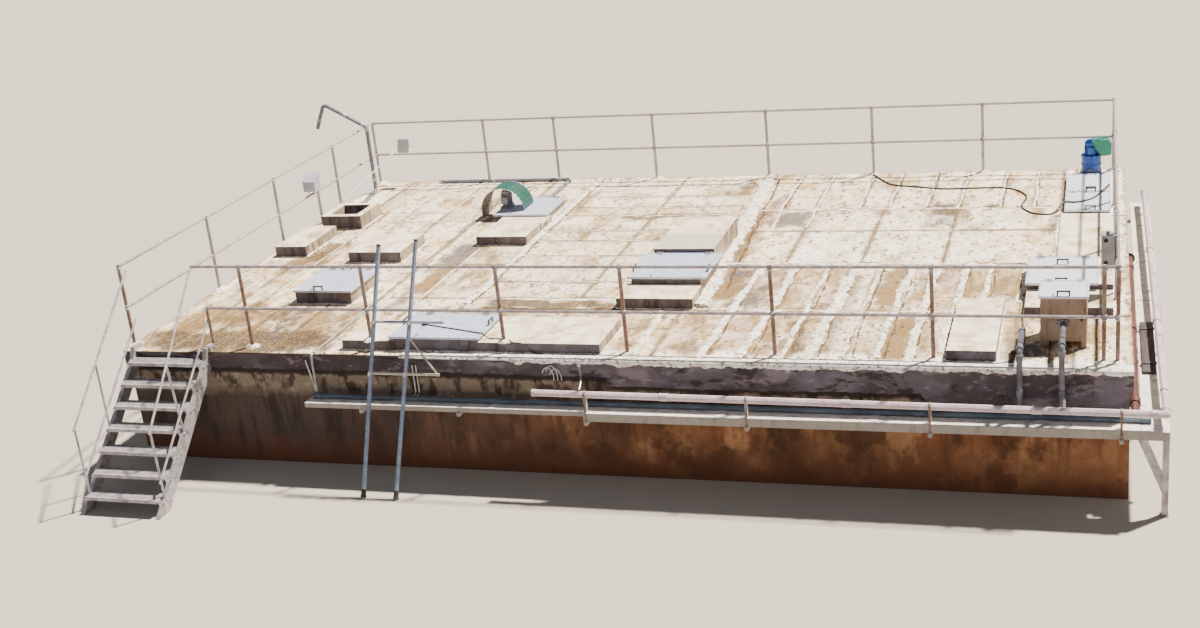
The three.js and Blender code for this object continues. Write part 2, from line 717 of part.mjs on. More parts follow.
const CONTROL_POST_Y = RIGHT_POSTS[0]; // the control box hangs on this railing post
const controlBoxX = RIGHT_LINE - clearOfPost;
addPiece(
  "control_box",
  box(
    controlBoxX - 140,
    controlBoxX,
    CONTROL_POST_Y - 70,
    CONTROL_POST_Y + 70,
    ROOF_TOP + 410,
    ROOF_TOP + 770,
  ),
  "greyCasing",
);

const RIGHT_LID_TOP = ROOF_TOP + 180;
addPiece(
  "right_platform",
  fuse(
    box(-940, -30, 1290, 2840, ROOF_TOP, ROOF_TOP + 100),
    box(-940, -30, 1870, 2790, ROOF_TOP, RIGHT_LID_TOP - LID_THICKNESS),
  ),
  "slabConcrete",
);
const RIGHT_BACK_HANDLE_INSET = 250;
addPiece(
  "right_lid",
  lidFrontBack(-960, -185, 1825, 2750, RIGHT_LID_TOP, -575, RIGHT_BACK_HANDLE_INSET),
  "lidSteel",
);

const CABINET_LEFT = -745;
const CABINET_RIGHT = -295;
const CABINET_FRONT = 365;
const CABINET_BACK = 820;
const CABINET_BOTTOM = ROOF_TOP + 80;
const CABINET_TOP = ROOF_TOP + 545;
const CABINET_FOOT = 50;
function cabinetFoot(x, y) {
  return box(x, x + CABINET_FOOT, y, y + CABINET_FOOT, ROOF_TOP, CABINET_BOTTOM + 5);
}
addPiece(
  "dosing_cabinet",
  fuse(
    box(CABINET_LEFT, CABINET_RIGHT, CABINET_FRONT, CABINET_BACK, CABINET_BOTTOM, CABINET_TOP),
    cabinetFoot(CABINET_LEFT, CABINET_FRONT),
    cabinetFoot(CABINET_RIGHT - CABINET_FOOT, CABINET_FRONT),
    cabinetFoot(CABINET_LEFT, CABINET_BACK - CABINET_FOOT),
    cabinetFoot(CABINET_RIGHT - CABINET_FOOT, CABINET_BACK - CABINET_FOOT),
  ),
  "beigeCasing",
);
const cabinetLidTop = CABINET_TOP + LID_THICKNESS;
addPiece(
  "dosing_cabinet_lid",
  fuse(
    lidPlate(CABINET_LEFT - 20, CABINET_RIGHT + 20, CABINET_FRONT - 25, CABINET_BACK + 30, cabinetLidTop),
    ...handle((CABINET_LEFT + CABINET_RIGHT) / 2, CABINET_FRONT, cabinetLidTop, 0),
  ),
  "lidSteel",
);
addPiece("corner_slab", box(-1650, -1160, FRONT_BLOCK_Y, 1510, ROOF_TOP, FRONT_SLAB_TOP), "slabConcrete");

// Trunking along the front and the right side, on arms from the wall and a braced leg at the corner.
// It carries a pale pipe on small saddles, and the front one a grey pipe as well.

const TRUNK_TOP = ROOF_TOP - 500;
const TRUNK_BOTTOM = ROOF_TOP - 590;
const TRUNK_OUTER_Y = -510;
const TRUNK_INNER_Y = -270;
const TRUNK_LEFT = -8860;
const TRUNK_RIGHT = 480;
const TRUNK_STEP_X = -5460; // the front trunking is smaller to the left of here
const SMALL_TRUNK_HEIGHT = 55;
const SMALL_TRUNK_OUTER_Y = -455;
const SIDE_TRUNK_LEFT = 230;
const SMALL_ARM_POSITIONS = [-8160, -6960];
const ARM_POSITIONS = [-5450, -3680, -1800, 20];
const SIDE_ARM_POSITIONS = [60, 1500, 2400, 3500, 5000, 6600];
const ARM_SIZE = 40;

const PALE_PIPE_RADIUS = 37;
const PALE_PIPE_CORNER = new THREE.Vector3(445, -460, ROOF_TOP - 335);
const PALE_PIPE_LEFT = new THREE.Vector3(-6030, -460, ROOF_TOP - 290);
const PALE_PIPE_BACK = new THREE.Vector3(405, TANK_BACK - 100, ROOF_TOP - 295);
const paleFlat = PALE_PIPE_RADIUS * Math.cos(Math.PI / 8);
const SADDLE_WIDTH = 20;

// A block that stands on the trunking just under the pale pipe, at a share of the pipe's length.
function saddle(end, share) {
  const { x, y, z } = PALE_PIPE_CORNER.clone().lerp(end, share);
  const half = SADDLE_WIDTH / 2;
  return box(x - half, x + half, y - half, y + half, TRUNK_TOP - 2, z - paleFlat - 2 * SEAT_GAP);
}
const frontSaddle = (x) =>
  saddle(PALE_PIPE_LEFT, (x - PALE_PIPE_CORNER.x) / (PALE_PIPE_LEFT.x - PALE_PIPE_CORNER.x));
const sideSaddle = (y) =>
  saddle(PALE_PIPE_BACK, (y - PALE_PIPE_CORNER.y) / (PALE_PIPE_BACK.y - PALE_PIPE_CORNER.y));

const ARM_BOTTOM = TRUNK_BOTTOM - ARM_SIZE;
const smallTrunkBottom = TRUNK_TOP - SMALL_TRUNK_HEIGHT;
const frontArm = (x, outerY, top) =>
  box(x, x + ARM_SIZE, outerY - 25, wallFront - SEAT_GAP, top - ARM_SIZE, top + 2);
addPiece(
  "front_trunking",
  fuse(
    box(TRUNK_STEP_X, TRUNK_RIGHT, TRUNK_OUTER_Y, TRUNK_INNER_Y, TRUNK_BOTTOM, TRUNK_TOP),
    box(TRUNK_LEFT, TRUNK_STEP_X + 20, SMALL_TRUNK_OUTER_Y, TRUNK_INNER_Y, smallTrunkBottom, TRUNK_TOP),
    ...SMALL_ARM_POSITIONS.map((x) => frontArm(x, SMALL_TRUNK_OUTER_Y, smallTrunkBottom)),
    ...ARM_POSITIONS.map((x) => frontArm(x, TRUNK_OUTER_Y, TRUNK_BOTTOM)),
    ...ARM_POSITIONS.map((x) => frontSaddle(x + ARM_SIZE / 2)),
  ),
  "trunkingSteel",
);
addPiece(
  "side_trunking",
  fuse(
    box(SIDE_TRUNK_LEFT, TRUNK_RIGHT, TRUNK_INNER_Y, TANK_BACK, TRUNK_BOTTOM, TRUNK_TOP),
    ...SIDE_ARM_POSITIONS.map((y) =>
      box(wallRight + SEAT_GAP, TRUNK_RIGHT + 10, y, y + ARM_SIZE, ARM_BOTTOM, TRUNK_BOTTOM + 2),
    ),
    ...SIDE_ARM_POSITIONS.map((y) => sideSaddle(y + ARM_SIZE / 2)),
  ),
  "trunkingSteel",
);

const LEG_X = 450;
const LEG_Y = -480;
const LEG_HALF = 30;
const BRACE_FOOT_Z = 235;
const BRACE_TOP_X = 190;
const BRACE_WIDTH = 85; // measured level
const legLeft = LEG_X - LEG_HALF;
const braceSlope = (TRUNK_BOTTOM - BRACE_FOOT_Z) / (legLeft - BRACE_TOP_X);
const braceOutline = new THREE.Shape([
  new THREE.Vector2(legLeft + 5, BRACE_FOOT_Z),
  new THREE.Vector2(legLeft + 5, BRACE_FOOT_Z + BRACE_WIDTH * braceSlope),
  new THREE.Vector2(BRACE_TOP_X + BRACE_WIDTH, TRUNK_BOTTOM),
  new THREE.Vector2(BRACE_TOP_X, TRUNK_BOTTOM),
]);
addPiece(
  "trunking_leg",
  fuse(
    box(legLeft, LEG_X + LEG_HALF, LEG_Y - LEG_HALF, LEG_Y + LEG_HALF, 0, TRUNK_BOTTOM),
    prismAlongY(braceOutline, LEG_Y - 20, LEG_Y + 20),
  ),
  "trunkingSteel",
);

// The pale pipe turns the corner in a mitre, where a thin joint is left between its two lengths.
const beyondMitre = (from, to) =>
  box(from, to, -200, 200, -200, 200).rotateZ(Math.PI / 4).translate(...PALE_PIPE_CORNER.toArray());
const cornerPast = (end) =>
  PALE_PIPE_CORNER.clone().add(PALE_PIPE_CORNER.clone().sub(end).setLength(2 * PALE_PIPE_RADIUS));
addPiece(
  "front_pipe",
  cut(
    rod(PALE_PIPE_LEFT.toArray(), cornerPast(PALE_PIPE_LEFT).toArray(), PALE_PIPE_RADIUS),
    beyondMitre(-SEAT_GAP / 2, 300),
  ),
  "palePlastic",
);
addPiece(
  "side_pipe",
  cut(
    rod(cornerPast(PALE_PIPE_BACK).toArray(), PALE_PIPE_BACK.toArray(), PALE_PIPE_RADIUS),
    beyondMitre(-300, SEAT_GAP / 2),
  ),
  "palePlastic",
);

const GREY_PIPE_RADIUS = 30;
const GREY_PIPE_Z = TRUNK_TOP + 28;
addPiece(
  "grey_front_pipe",
  rod([-8800, -305, GREY_PIPE_Z], [315, -305, GREY_PIPE_Z], GREY_PIPE_RADIUS),
  "greyPlastic",
);

// The red pipe slopes down between the wall and the side trunking and rests on the first arm
const RED_PIPE_RADIUS = 45;
const RED_PIPE_X = 176;
const RED_PIPE_SLOPE = 0.046;
const redPipeRestY = SIDE_ARM_POSITIONS[0];
const redPipeZ = (y) =>
  TRUNK_BOTTOM + 2 + onRoof(RED_PIPE_RADIUS) + SEAT_GAP + (y - redPipeRestY) * RED_PIPE_SLOPE;
addPiece(
  "red_pipe",
  pipe([4300, -200].map((y) => [RED_PIPE_X, y, redPipeZ(y)]), RED_PIPE_RADIUS),
  "redPlastic",
);

const OUTLET_RADIUS = 30;
const OUTLET_Z = ROOF_TOP + 270;
const OUTLET_DROP_Y = -280;
const outletFoot = TRUNK_TOP + 60;
addPiece(
  "outlet_pipe_1",
  fuse(
    pipe(
      [
        [-520, CABINET_FRONT - SEAT_GAP, OUTLET_Z],
        [-520, OUTLET_DROP_Y, OUTLET_Z],
        [-520, OUTLET_DROP_Y, outletFoot],
      ],
      OUTLET_RADIUS,
    ),
    rod(
      [-520, CABINET_FRONT - SEAT_GAP, OUTLET_Z],
      [-520, CABINET_FRONT - 25, OUTLET_Z],
      60,
      12,
    ),
  ),
  "greyPlastic",
);
addPiece(
  "outlet_pipe_2",
  pipe(
    [
      [-920, 330, ROOF_TOP],
      [-920, 330, ROOF_TOP + 220],
      [-920, OUTLET_DROP_Y, ROOF_TOP + 220],
      [-920, OUTLET_DROP_Y, outletFoot],
    ],
    OUTLET_RADIUS,
  ),
  "greyPlastic",
);

// Thin conduits and cables

const CONDUIT_RADIUS = 14;
addPiece(
  "roof_conduit",
  pipe(
    [
      [-8790, 1200, ROOF_TOP + onRoof(CONDUIT_RADIUS)],
      [-8790, TANK_FRONT - 42, ROOF_TOP + onRoof(CONDUIT_RADIUS)],
      [-8790, TANK_FRONT - 42, TRUNK_TOP + 60],
    ],
    CONDUIT_RADIUS,
  ),
  "palePlastic",
);

// The black hose lies on the roof and crosses the back hatch's lid to the right edge.
const HOSE_RADIUS = 12;
const hoseOnRoof = ROOF_TOP + onRoof(HOSE_RADIUS);
const hoseOnLid = BACK_LID_TOP + onRoof(HOSE_RADIUS);
const HOSE_ON_ROOF = [
  [-3330, 7030],
  [-3170, 6750],
  [-2990, 6490],
  [-2590, 6345],
  [-2275, 6238],
  [-1440, 6236],
  [-1270, 6130],
  [-1146, 5920],
  [-1113, 5748],
  [-1156, 5409],
  [-1133, 5244],
  [-998, 5030],
  [-885, 4980],
  [-776, 4985],
  [-690, 5090],
];
const HOSE_ON_LID = [
  [-560, 5272],
  [-469, 5268],
  [-281, 5414],
  [-153, 5733],
  [-50, 6080],
];
addPiece(
  "black_roof_pipe",
  pipe(
    [
      ...HOSE_ON_ROOF.map(([x, y]) => [x, y, hoseOnRoof]),
      [-642, 5235, hoseOnRoof],
      [-634, 5255, BACK_LID_TOP + 14],
      [-604, 5266, BACK_LID_TOP + 28],
      ...HOSE_ON_LID.map(([x, y]) => [x, y, hoseOnLid]),
    ],
    HOSE_RADIUS,
    40,
  ),
  "blackPlastic",
);

const CABLE_RADIUS = 7;
const cableAbove = (surface) => surface + CABLE_RADIUS + SEAT_GAP;
const FRONT_CABLE_ROUTE = [
  [-7574, 347, cableAbove(FRONT_LID_TOP)],
  [-6840, 115, cableAbove(FRONT_LID_TOP)],
  [-6755, 90, cableAbove(FRONT_LID_TOP)],
  [-6700, 70, cableAbove(FRONT_SLAB_TOP)],
  [-6530, 62, cableAbove(FRONT_SLAB_TOP)],
  [-6420, 15, cableAbove(FRONT_SLAB_TOP)],
  [-6365, -48, cableAbove(FRONT_SLAB_TOP)],
  [-6200, -60, cableAbove(FRONT_SLAB_TOP)],
  [-6180, -62, cableAbove(ROOF_TOP)],
  [-5360, -75, cableAbove(ROOF_TOP)],
  [-3000, -80, cableAbove(ROOF_TOP)],
  [-1760, -75, cableAbove(ROOF_TOP)],
  [-1120, -80, cableAbove(ROOF_TOP)],
  [-990, 190, cableAbove(ROOF_TOP)],
];
addPiece(
  "front_cable",
  pipe(FRONT_CABLE_ROUTE, CABLE_RADIUS, 30),
  "blackPlastic",
);

// The finished part: its origin is the middle of its base

const bounds = new THREE.Box3().setFromObject(digester);
const middle = bounds.getCenter(new THREE.Vector3());
digester.children.forEach((mesh) => mesh.position.set(-middle.x, -middle.y, -bounds.min.z));

export default digester;
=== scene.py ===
import math
import random

import bmesh
import bpy
import numpy as np
from mathutils import Matrix, Vector, noise


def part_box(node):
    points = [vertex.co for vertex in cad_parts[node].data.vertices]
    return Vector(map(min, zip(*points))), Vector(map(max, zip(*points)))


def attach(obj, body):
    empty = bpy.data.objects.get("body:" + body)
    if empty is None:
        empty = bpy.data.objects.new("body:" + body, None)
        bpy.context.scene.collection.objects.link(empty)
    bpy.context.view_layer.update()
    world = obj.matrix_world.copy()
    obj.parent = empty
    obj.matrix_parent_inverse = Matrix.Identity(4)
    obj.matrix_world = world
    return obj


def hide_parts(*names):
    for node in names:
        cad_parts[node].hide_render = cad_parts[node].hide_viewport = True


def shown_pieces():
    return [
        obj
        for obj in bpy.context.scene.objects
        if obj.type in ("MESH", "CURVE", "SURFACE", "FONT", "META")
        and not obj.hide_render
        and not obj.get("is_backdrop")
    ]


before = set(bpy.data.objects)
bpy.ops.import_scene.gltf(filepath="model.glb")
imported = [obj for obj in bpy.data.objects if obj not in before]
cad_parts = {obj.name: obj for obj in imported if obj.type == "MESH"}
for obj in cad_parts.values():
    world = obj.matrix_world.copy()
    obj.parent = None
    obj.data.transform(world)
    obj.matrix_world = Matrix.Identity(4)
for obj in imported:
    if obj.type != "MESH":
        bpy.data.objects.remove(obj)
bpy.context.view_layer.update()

# %% [markdown]
# The tank was laid out with X = 0 and Y = 0 on the front right corner post of the railing and Z = 0
# on the ground, and was then moved so that its origin is the middle of its base. Everything below is
# written in those layout metres. The corner of the right roof slab says how far the model was moved.
# %% Layout metres
ROOF = 1.4
ROOF_LEFT, ROOF_RIGHT = -11.35, 0.15
ROOF_FRONT, ROOF_BACK = -0.21, 7.16
roof_low, roof_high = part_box("roof_right")
ORIGIN = np.array((roof_high.x - ROOF_RIGHT, roof_low.y - ROOF_FRONT, 0.0))


def placed(points):
    """Layout points, as an array of points in the row frame."""
    return np.asarray(points, float).reshape(-1, 3) + ORIGIN


def put(name, data):
    """A new object in the scene, at the origin of the row frame."""
    obj = bpy.data.objects.new(name, data)
    bpy.context.scene.collection.objects.link(obj)
    return obj


print("layout origin in the row frame", ORIGIN.round(4))

# %% [markdown]
# The camera stands about 14.6 m in front of the railing and 6 m above the roof. Its place was found by
# fitting fourteen railing posts of known height to the photograph. It is turned a little to the left
# of the photograph's own frame and the lens is longer, so that the whole tank is in view at the same
# angle. The shift stays at zero, so that other views of the model stay centred.
# %% The camera
CAMERA_PLACE = (-0.200, -14.605, 7.422)
CAMERA_YAW = math.radians(-19.312)
CAMERA_PITCH = math.radians(19.766)
CAMERA_ROLL = math.radians(6.156)
CAMERA_LENS = 45.5


def camera_turn(yaw, pitch, roll):
    """The camera's matrix for a heading from +Y, an angle below the horizon and a roll."""
    ahead = Vector((math.sin(yaw) * math.cos(pitch), math.cos(yaw) * math.cos(pitch), -math.sin(pitch)))
    level = Vector((math.cos(yaw), -math.sin(yaw), 0))
    down = ahead.cross(level)
    right = math.cos(roll) * level + math.sin(roll) * down
    below = -math.sin(roll) * level + math.cos(roll) * down
    return Matrix((right, -below, -ahead)).transposed()


camera_data = bpy.data.cameras.new("photo_camera")
camera_data.lens = CAMERA_LENS
camera_data.clip_end = 400
camera = put("photo_camera", camera_data)
camera.matrix_world = camera_turn(CAMERA_YAW, CAMERA_PITCH, CAMERA_ROLL).to_4x4()
camera.location = Vector(placed(CAMERA_PLACE)[0])
bpy.context.scene.camera = camera
print("camera at", [round(value, 2) for value in camera.location])

# %% [markdown]
# A hose, a cable and a pipe are all a circle carried along a line. The circle is turned only as much
# as the line turns, so the tube never twists. Fine bends come from a smooth curve through the route's
# points, which is how a flexible thing lies.
# %% Tubes
def smooth_line(points, step):
    """A smooth curve through the points, with a point about every step metres."""
    route = np.asarray(points, float)
    ends = np.vstack([2 * route[0] - route[1], route, 2 * route[-1] - route[-2]])
    line = []
    for a, b, c, d in zip(ends[:-3], ends[1:-2], ends[2:-1], ends[3:]):
        knots = [0.0]
        for start, stop in ((a, b), (b, c), (c, d)):
            knots.append(knots[-1] + max(np.linalg.norm(stop - start), 1e-6) ** 0.5)
        k0, k1, k2, k3 = knots
        count = max(2, int(np.ceil(np.linalg.norm(c - b) / step)))
        for t in np.linspace(k1, k2, count, endpoint=False):
            a1 = (k1 - t) / (k1 - k0) * a + (t - k0) / (k1 - k0) * b
            a2 = (k2 - t) / (k2 - k1) * b + (t - k1) / (k2 - k1) * c
            a3 = (k3 - t) / (k3 - k2) * c + (t - k2) / (k3 - k2) * d
            b1 = (k2 - t) / (k2 - k0) * a1 + (t - k0) / (k2 - k0) * a2
            b2 = (k3 - t) / (k3 - k1) * a2 + (t - k1) / (k3 - k1) * a3
            line.append((k2 - t) / (k2 - k1) * b1 + (t - k1) / (k2 - k1) * b2)
    line.append(route[-1])
    return np.array(line)


def line_length(line):
    """The length of a line of points, in metres."""
    return float(np.linalg.norm(np.diff(np.asarray(line, float), axis=0), axis=1).sum())


def ring_faces(rings, size):
    """The squares between rings of corners that follow one another."""
    faces = []
    for ring in range(rings - 1):
        for k in range(size):
            a, b = ring * size + k, ring * size + (k + 1) % size
            faces.append((a, b, b + size, a + size))
    return faces


def closed_skin(rings, size):
    """The squares between the rings, and a face over each end."""
    last = (rings - 1) * size
    return ring_faces(rings, size) + [tuple(reversed(range(size))), tuple(range(last, last + size))]


def tube(line, radius, sides=16):
    """Points and faces of a closed round tube along a line of points."""
    line = np.asarray(line, float)
    ahead = np.gradient(line, axis=0)
    ahead /= np.linalg.norm(ahead, axis=1)[:, None]
    side = np.cross(ahead[0], (0, 0, 1) if abs(ahead[0][2]) < 0.9 else (0, 1, 0))
    points = []
    for place, along in zip(line, ahead):
        side = side - along * (side @ along)
        side /= np.linalg.norm(side)
        up = np.cross(side, along)
        for turn in np.arange(sides) * 2 * np.pi / sides:
            points.append(place + radius * (np.cos(turn) * side - np.sin(turn) * up))
    return points, closed_skin(len(line), sides)


# %% [markdown]
# A nut, a cap, a coupling or a motor housing is turned: it is a list of distances along an axis, each
# with its radius. The same rings of corners are used as for a tube, but a step in the radius may be
# sudden, so the directions come from the axis and not from the line.
# %% Turned parts
def turned(start, ahead, profile, sides=24):
    """A turned body. profile is (distance, radius) pairs along ahead, and both ends are closed."""
    along = Vector(ahead).normalized()
    side = along.orthogonal().normalized()
    up = side.cross(along)
    points = []
    for distance, radius in profile:
        for turn in range(sides):
            angle = 2 * math.pi * turn / sides
            out = math.cos(angle) * side - math.sin(angle) * up
            points.append(Vector(start) + along * distance + radius * out)
    return points, closed_skin(len(profile), sides)


# %% [markdown]
# Most other fittings are cut from bar and sheet. Two helpers are enough for them: a box whose edges
# are rounded, and a flat outline carried straight along an axis.
# %% Bevelled boxes and prisms
def bevelled_box(x0, x1, y0, y1, z0, z1, edge):
    """A box with rounded edges, as points and faces."""
    body = bmesh.new()
    bmesh.ops.create_cube(body, size=1.0)
    bmesh.ops.scale(body, vec=(x1 - x0, y1 - y0, z1 - z0), verts=body.verts)
    bmesh.ops.translate(body, vec=((x0 + x1) / 2, (y0 + y1) / 2, (z0 + z1) / 2), verts=body.verts)
    bmesh.ops.bevel(body, geom=list(body.edges), offset=edge, segments=2, profile=0.6, affect="EDGES")
    body.verts.index_update()
    points = [tuple(corner.co) for corner in body.verts]
    faces = [tuple(corner.index for corner in face.verts) for face in body.faces]
    body.free()
    return points, faces


def prism(axis, start, stop, outline):
    """A flat outline carried straight along X or Y. Its corners are (Y, Z) or (X, Z) pairs."""
    points = []
    for place in (start, stop):
        points.extend([(place, u, v) if axis == "X" else (u, place, v) for u, v in outline])
    count = len(outline)
    faces = [(k, (k + 1) % count, count + (k + 1) % count, count + k) for k in range(count)]
    faces += [tuple(range(count)), tuple(range(count, 2 * count))]
    return points, faces


print("a bevelled box has", len(bevelled_box(0, 1, 0, 1, 0, 1, 0.1)[1]), "faces")

# %% [markdown]
# Every piece is a plain mesh in row-frame metres. A small collector gathers such shapes in layout
# metres and hands back one finished object, with edges kept crisp where the faces meet at a clear
# angle. That is simpler to follow than moving and joining many little objects. Every fitting goes
# through one last helper that turns its faces outwards and dresses it.
# %% Making a piece
CRISP = math.radians(32)
SOFT = math.radians(60)
LUMPY = math.radians(75)


class Shapes:
    """Corners and faces of one piece, in layout metres. Each call adds one shape."""

    def __init__(self):
        self.points = []
        self.faces = []

    def add(self, points, faces):
        first = len(self.points)
        self.points.extend([tuple(point) for point in points])
        self.faces.extend([tuple(first + corner for corner in face) for face in faces])
        return self

    def box(self, *spans_and_edge):
        return self.add(*bevelled_box(*spans_and_edge))

    def turned(self, *outline):
        return self.add(*turned(*outline))

    def tube(self, *route):
        return self.add(*tube(*route))

    def prism(self, *outline):
        return self.add(*prism(*outline))


def creased(mesh, sharp):
    """Shades a mesh smoothly, apart from the edges where its faces meet at a clear angle."""
    mesh.polygons.foreach_set("use_smooth", [True] * len(mesh.polygons))
    mesh.set_sharp_from_angle(angle=sharp)


def mark(mesh, name, values, kind="FLOAT"):
    """Stores a value or a vector for each corner of a mesh, for a material or a node tree."""
    attribute = mesh.attributes.new(name, kind, "POINT")
    attribute.data.foreach_set("value" if kind == "FLOAT" else "vector", np.array(values, np.float32).ravel())


def mesh_object(name, shapes, sharp=CRISP):
    """The collected shapes as an object at the origin of the row frame."""
    mesh = bpy.data.meshes.new(name)
    mesh.from_pydata(placed(shapes.points).tolist(), [], shapes.faces)
    mesh.validate()
    creased(mesh, sharp)
    return put(name, mesh)


def dress(obj, material):
    """Gives a finished piece its material and the body that it rides on."""
    if material is not None:
        obj.data.materials.clear()
        obj.data.materials.append(material)
    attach(obj, "root")
    return obj


def fitting(name, shapes, material, sharp=CRISP, replaced=()):
    """A finished fitting: faces outwards, dressed, and standing for the CAD nodes it replaces."""
    obj = mesh_object(name, shapes, sharp)
    body = bmesh.new()
    body.from_mesh(obj.data)
    bmesh.ops.recalc_face_normals(body, faces=body.faces)
    body.to_mesh(obj.data)
    body.free()
    dress(obj, material)
    if replaced:
        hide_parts(*replaced)
    print(name, "faces", len(obj.data.polygons))
    return obj


print("piece helpers are ready")

# %% [markdown]
# Two flexible lines lie on the roof, and both are measured before anything else is made. The thicker
# one is a black polyethylene hose, 24 mm across. It is tied to the foot of a back post, wanders over
# the roof and climbs over the edge of the back hatch lid. The thinner one is a 14 mm rubber cable
# that starts on the front hatch lid and runs along the front edge of the roof.
# 14 mm rubber cable that starts on the front hatch lid and runs along the front edge of the roof.
# Their routes repeat the points of the CAD source, and a smooth curve goes through them.
# %% The hose and the cable
HOSE_RADIUS = 0.012
HOSE_ON_ROOF = ROOF + 0.0114
HOSE_ON_LID = 1.475 + 0.0114
HOSE_ROUTE = [
    (-3.330, 7.030, HOSE_ON_ROOF), (-3.170, 6.750, HOSE_ON_ROOF), (-2.990, 6.490, HOSE_ON_ROOF),
    (-2.590, 6.345, HOSE_ON_ROOF), (-2.275, 6.238, HOSE_ON_ROOF), (-1.440, 6.236, HOSE_ON_ROOF),
    (-1.270, 6.130, HOSE_ON_ROOF), (-1.146, 5.920, HOSE_ON_ROOF), (-1.113, 5.748, HOSE_ON_ROOF),
    (-1.156, 5.409, HOSE_ON_ROOF), (-1.133, 5.244, HOSE_ON_ROOF), (-0.998, 5.030, HOSE_ON_ROOF),
    (-0.885, 4.980, HOSE_ON_ROOF), (-0.776, 4.985, HOSE_ON_ROOF + 0.002),
    (-0.700, 5.085, HOSE_ON_ROOF + 0.030), (-0.648, 5.215, HOSE_ON_LID - 0.012),
    (-0.600, 5.262, HOSE_ON_LID + 0.007), (-0.540, 5.272, HOSE_ON_LID), (-0.469, 5.268, HOSE_ON_LID),
    (-0.281, 5.414, HOSE_ON_LID), (-0.153, 5.733, HOSE_ON_LID), (-0.050, 6.080, HOSE_ON_LID),
]
CABLE_RADIUS = 0.007
ON_FRONT_LID = 1.5773
ON_FRONT_SLAB = 1.5273
ON_ROOF = 1.4073
CABLE_ROUTE = [
    (-7.574, 0.347, ON_FRONT_LID), (-7.200, 0.230, ON_FRONT_LID), (-6.840, 0.115, ON_FRONT_LID),
    (-6.770, 0.094, ON_FRONT_LID), (-6.715, 0.074, ON_FRONT_SLAB + 0.012),
    (-6.640, 0.066, ON_FRONT_SLAB), (-6.530, 0.062, ON_FRONT_SLAB), (-6.430, 0.020, ON_FRONT_SLAB),
    (-6.355, -0.048, ON_FRONT_SLAB), (-6.250, -0.060, ON_FRONT_SLAB - 0.006),
    (-6.170, -0.062, ON_ROOF + 0.030), (-6.050, -0.064, ON_ROOF), (-5.360, -0.075, ON_ROOF),
    (-4.200, -0.078, ON_ROOF), (-3.000, -0.080, ON_ROOF), (-1.760, -0.075, ON_ROOF),
    (-1.120, -0.080, ON_ROOF), (-1.010, 0.010, ON_ROOF), (-0.990, 0.190, ON_ROOF),
]


def cord_piece(name, route, radius, node):
    """A flexible line as a mesh tube that stands for its CAD node, with its real length printed."""
    line = smooth_line(route, 0.03)
    obj = mesh_object(name, Shapes().tube(line, radius, 14))
    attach(obj, "root")
    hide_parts(node)
    print(name, "length", round(line_length(line), 3), "m")
    return obj


hose_end = Vector(HOSE_ROUTE[-1])
hose_way = (hose_end - Vector(HOSE_ROUTE[-2])).normalized()
nozzle_foot = hose_end - hose_way * 0.045 + Vector((0, 0, 0.0052))
nozzle = Shapes().turned(nozzle_foot, hose_way, [
    (0.0, 0.0130), (0.002, 0.0152), (0.010, 0.0152), (0.012, 0.0140), (0.030, 0.0140), (0.032, 0.0152),
    (0.036, 0.0152), (0.037, 0.0125), (0.044, 0.0125), (0.045, 0.0105), (0.066, 0.0105), (0.068, 0.0090)], 18)
nozzle.turned(nozzle_foot + hose_way * 0.037, hose_way, [
    (0.0, 0.0150), (0.001, 0.0162), (0.009, 0.0162), (0.010, 0.0150)], 6)
hose_fitting = mesh_object("hose_end_fitting", nozzle)
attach(hose_fitting, "root")
hose = cord_piece("black_hose", HOSE_ROUTE, HOSE_RADIUS, "black_roof_pipe")
cable = cord_piece("roof_cable", CABLE_ROUTE, CABLE_RADIUS, "front_cable")

# %% [markdown]
# Every finish is made from nodes. One function turns a hex colour into the linear values that Blender
# wants, and one adds a node with its settings and links. A finish collects them: its patterns are
# sized in millimetres and placed in layout metres. Object coordinates are the row frame here, because
# every piece sits at the origin, so a stain stays where it is on the tank from any side.
# %% Material helpers
def linear(hex_colour):
    """A linear RGBA colour from an sRGB hex value such as E8DCC8."""
    channels = [int(hex_colour[i:i + 2], 16) / 255 for i in (0, 2, 4)]
    return (*[c / 12.92 if c <= 0.04045 else ((c + 0.055) / 1.055) ** 2.4 for c in channels], 1.0)


def add_node(tree, kind, settings=None, values=None, links=None):
    """One node, with its settings, the values of its free sockets and the sockets linked to it."""
    node = tree.nodes.new(kind)
    for key, value in (settings or {}).items():
        setattr(node, key, value)
    for key, value in (values or {}).items():
        node.inputs[key].default_value = value
    for key, source in (links or {}).items():
        tree.links.new(source, node.inputs[key])
    return node


def calculated(tree, operation, *terms):
    """The result of a Math node. Each term is a number or a socket."""
    values = {index: term for index, term in enumerate(terms) if isinstance(term, (int, float))}
    links = {index: term for index, term in enumerate(terms) if index not in values}
    return add_node(tree, "ShaderNodeMath", {"operation": operation}, values, links).outputs[0]


def ranged(tree, value, low, high, to_low=0.0, to_high=1.0):
    """A value that goes from low to high, spread over 0 to 1 or over the range given."""
    ends = {"From Min": low, "From Max": high, "To Min": to_low, "To Max": to_high}
    return add_node(tree, "ShaderNodeMapRange", values=ends, links={"Value": value}).outputs["Result"]


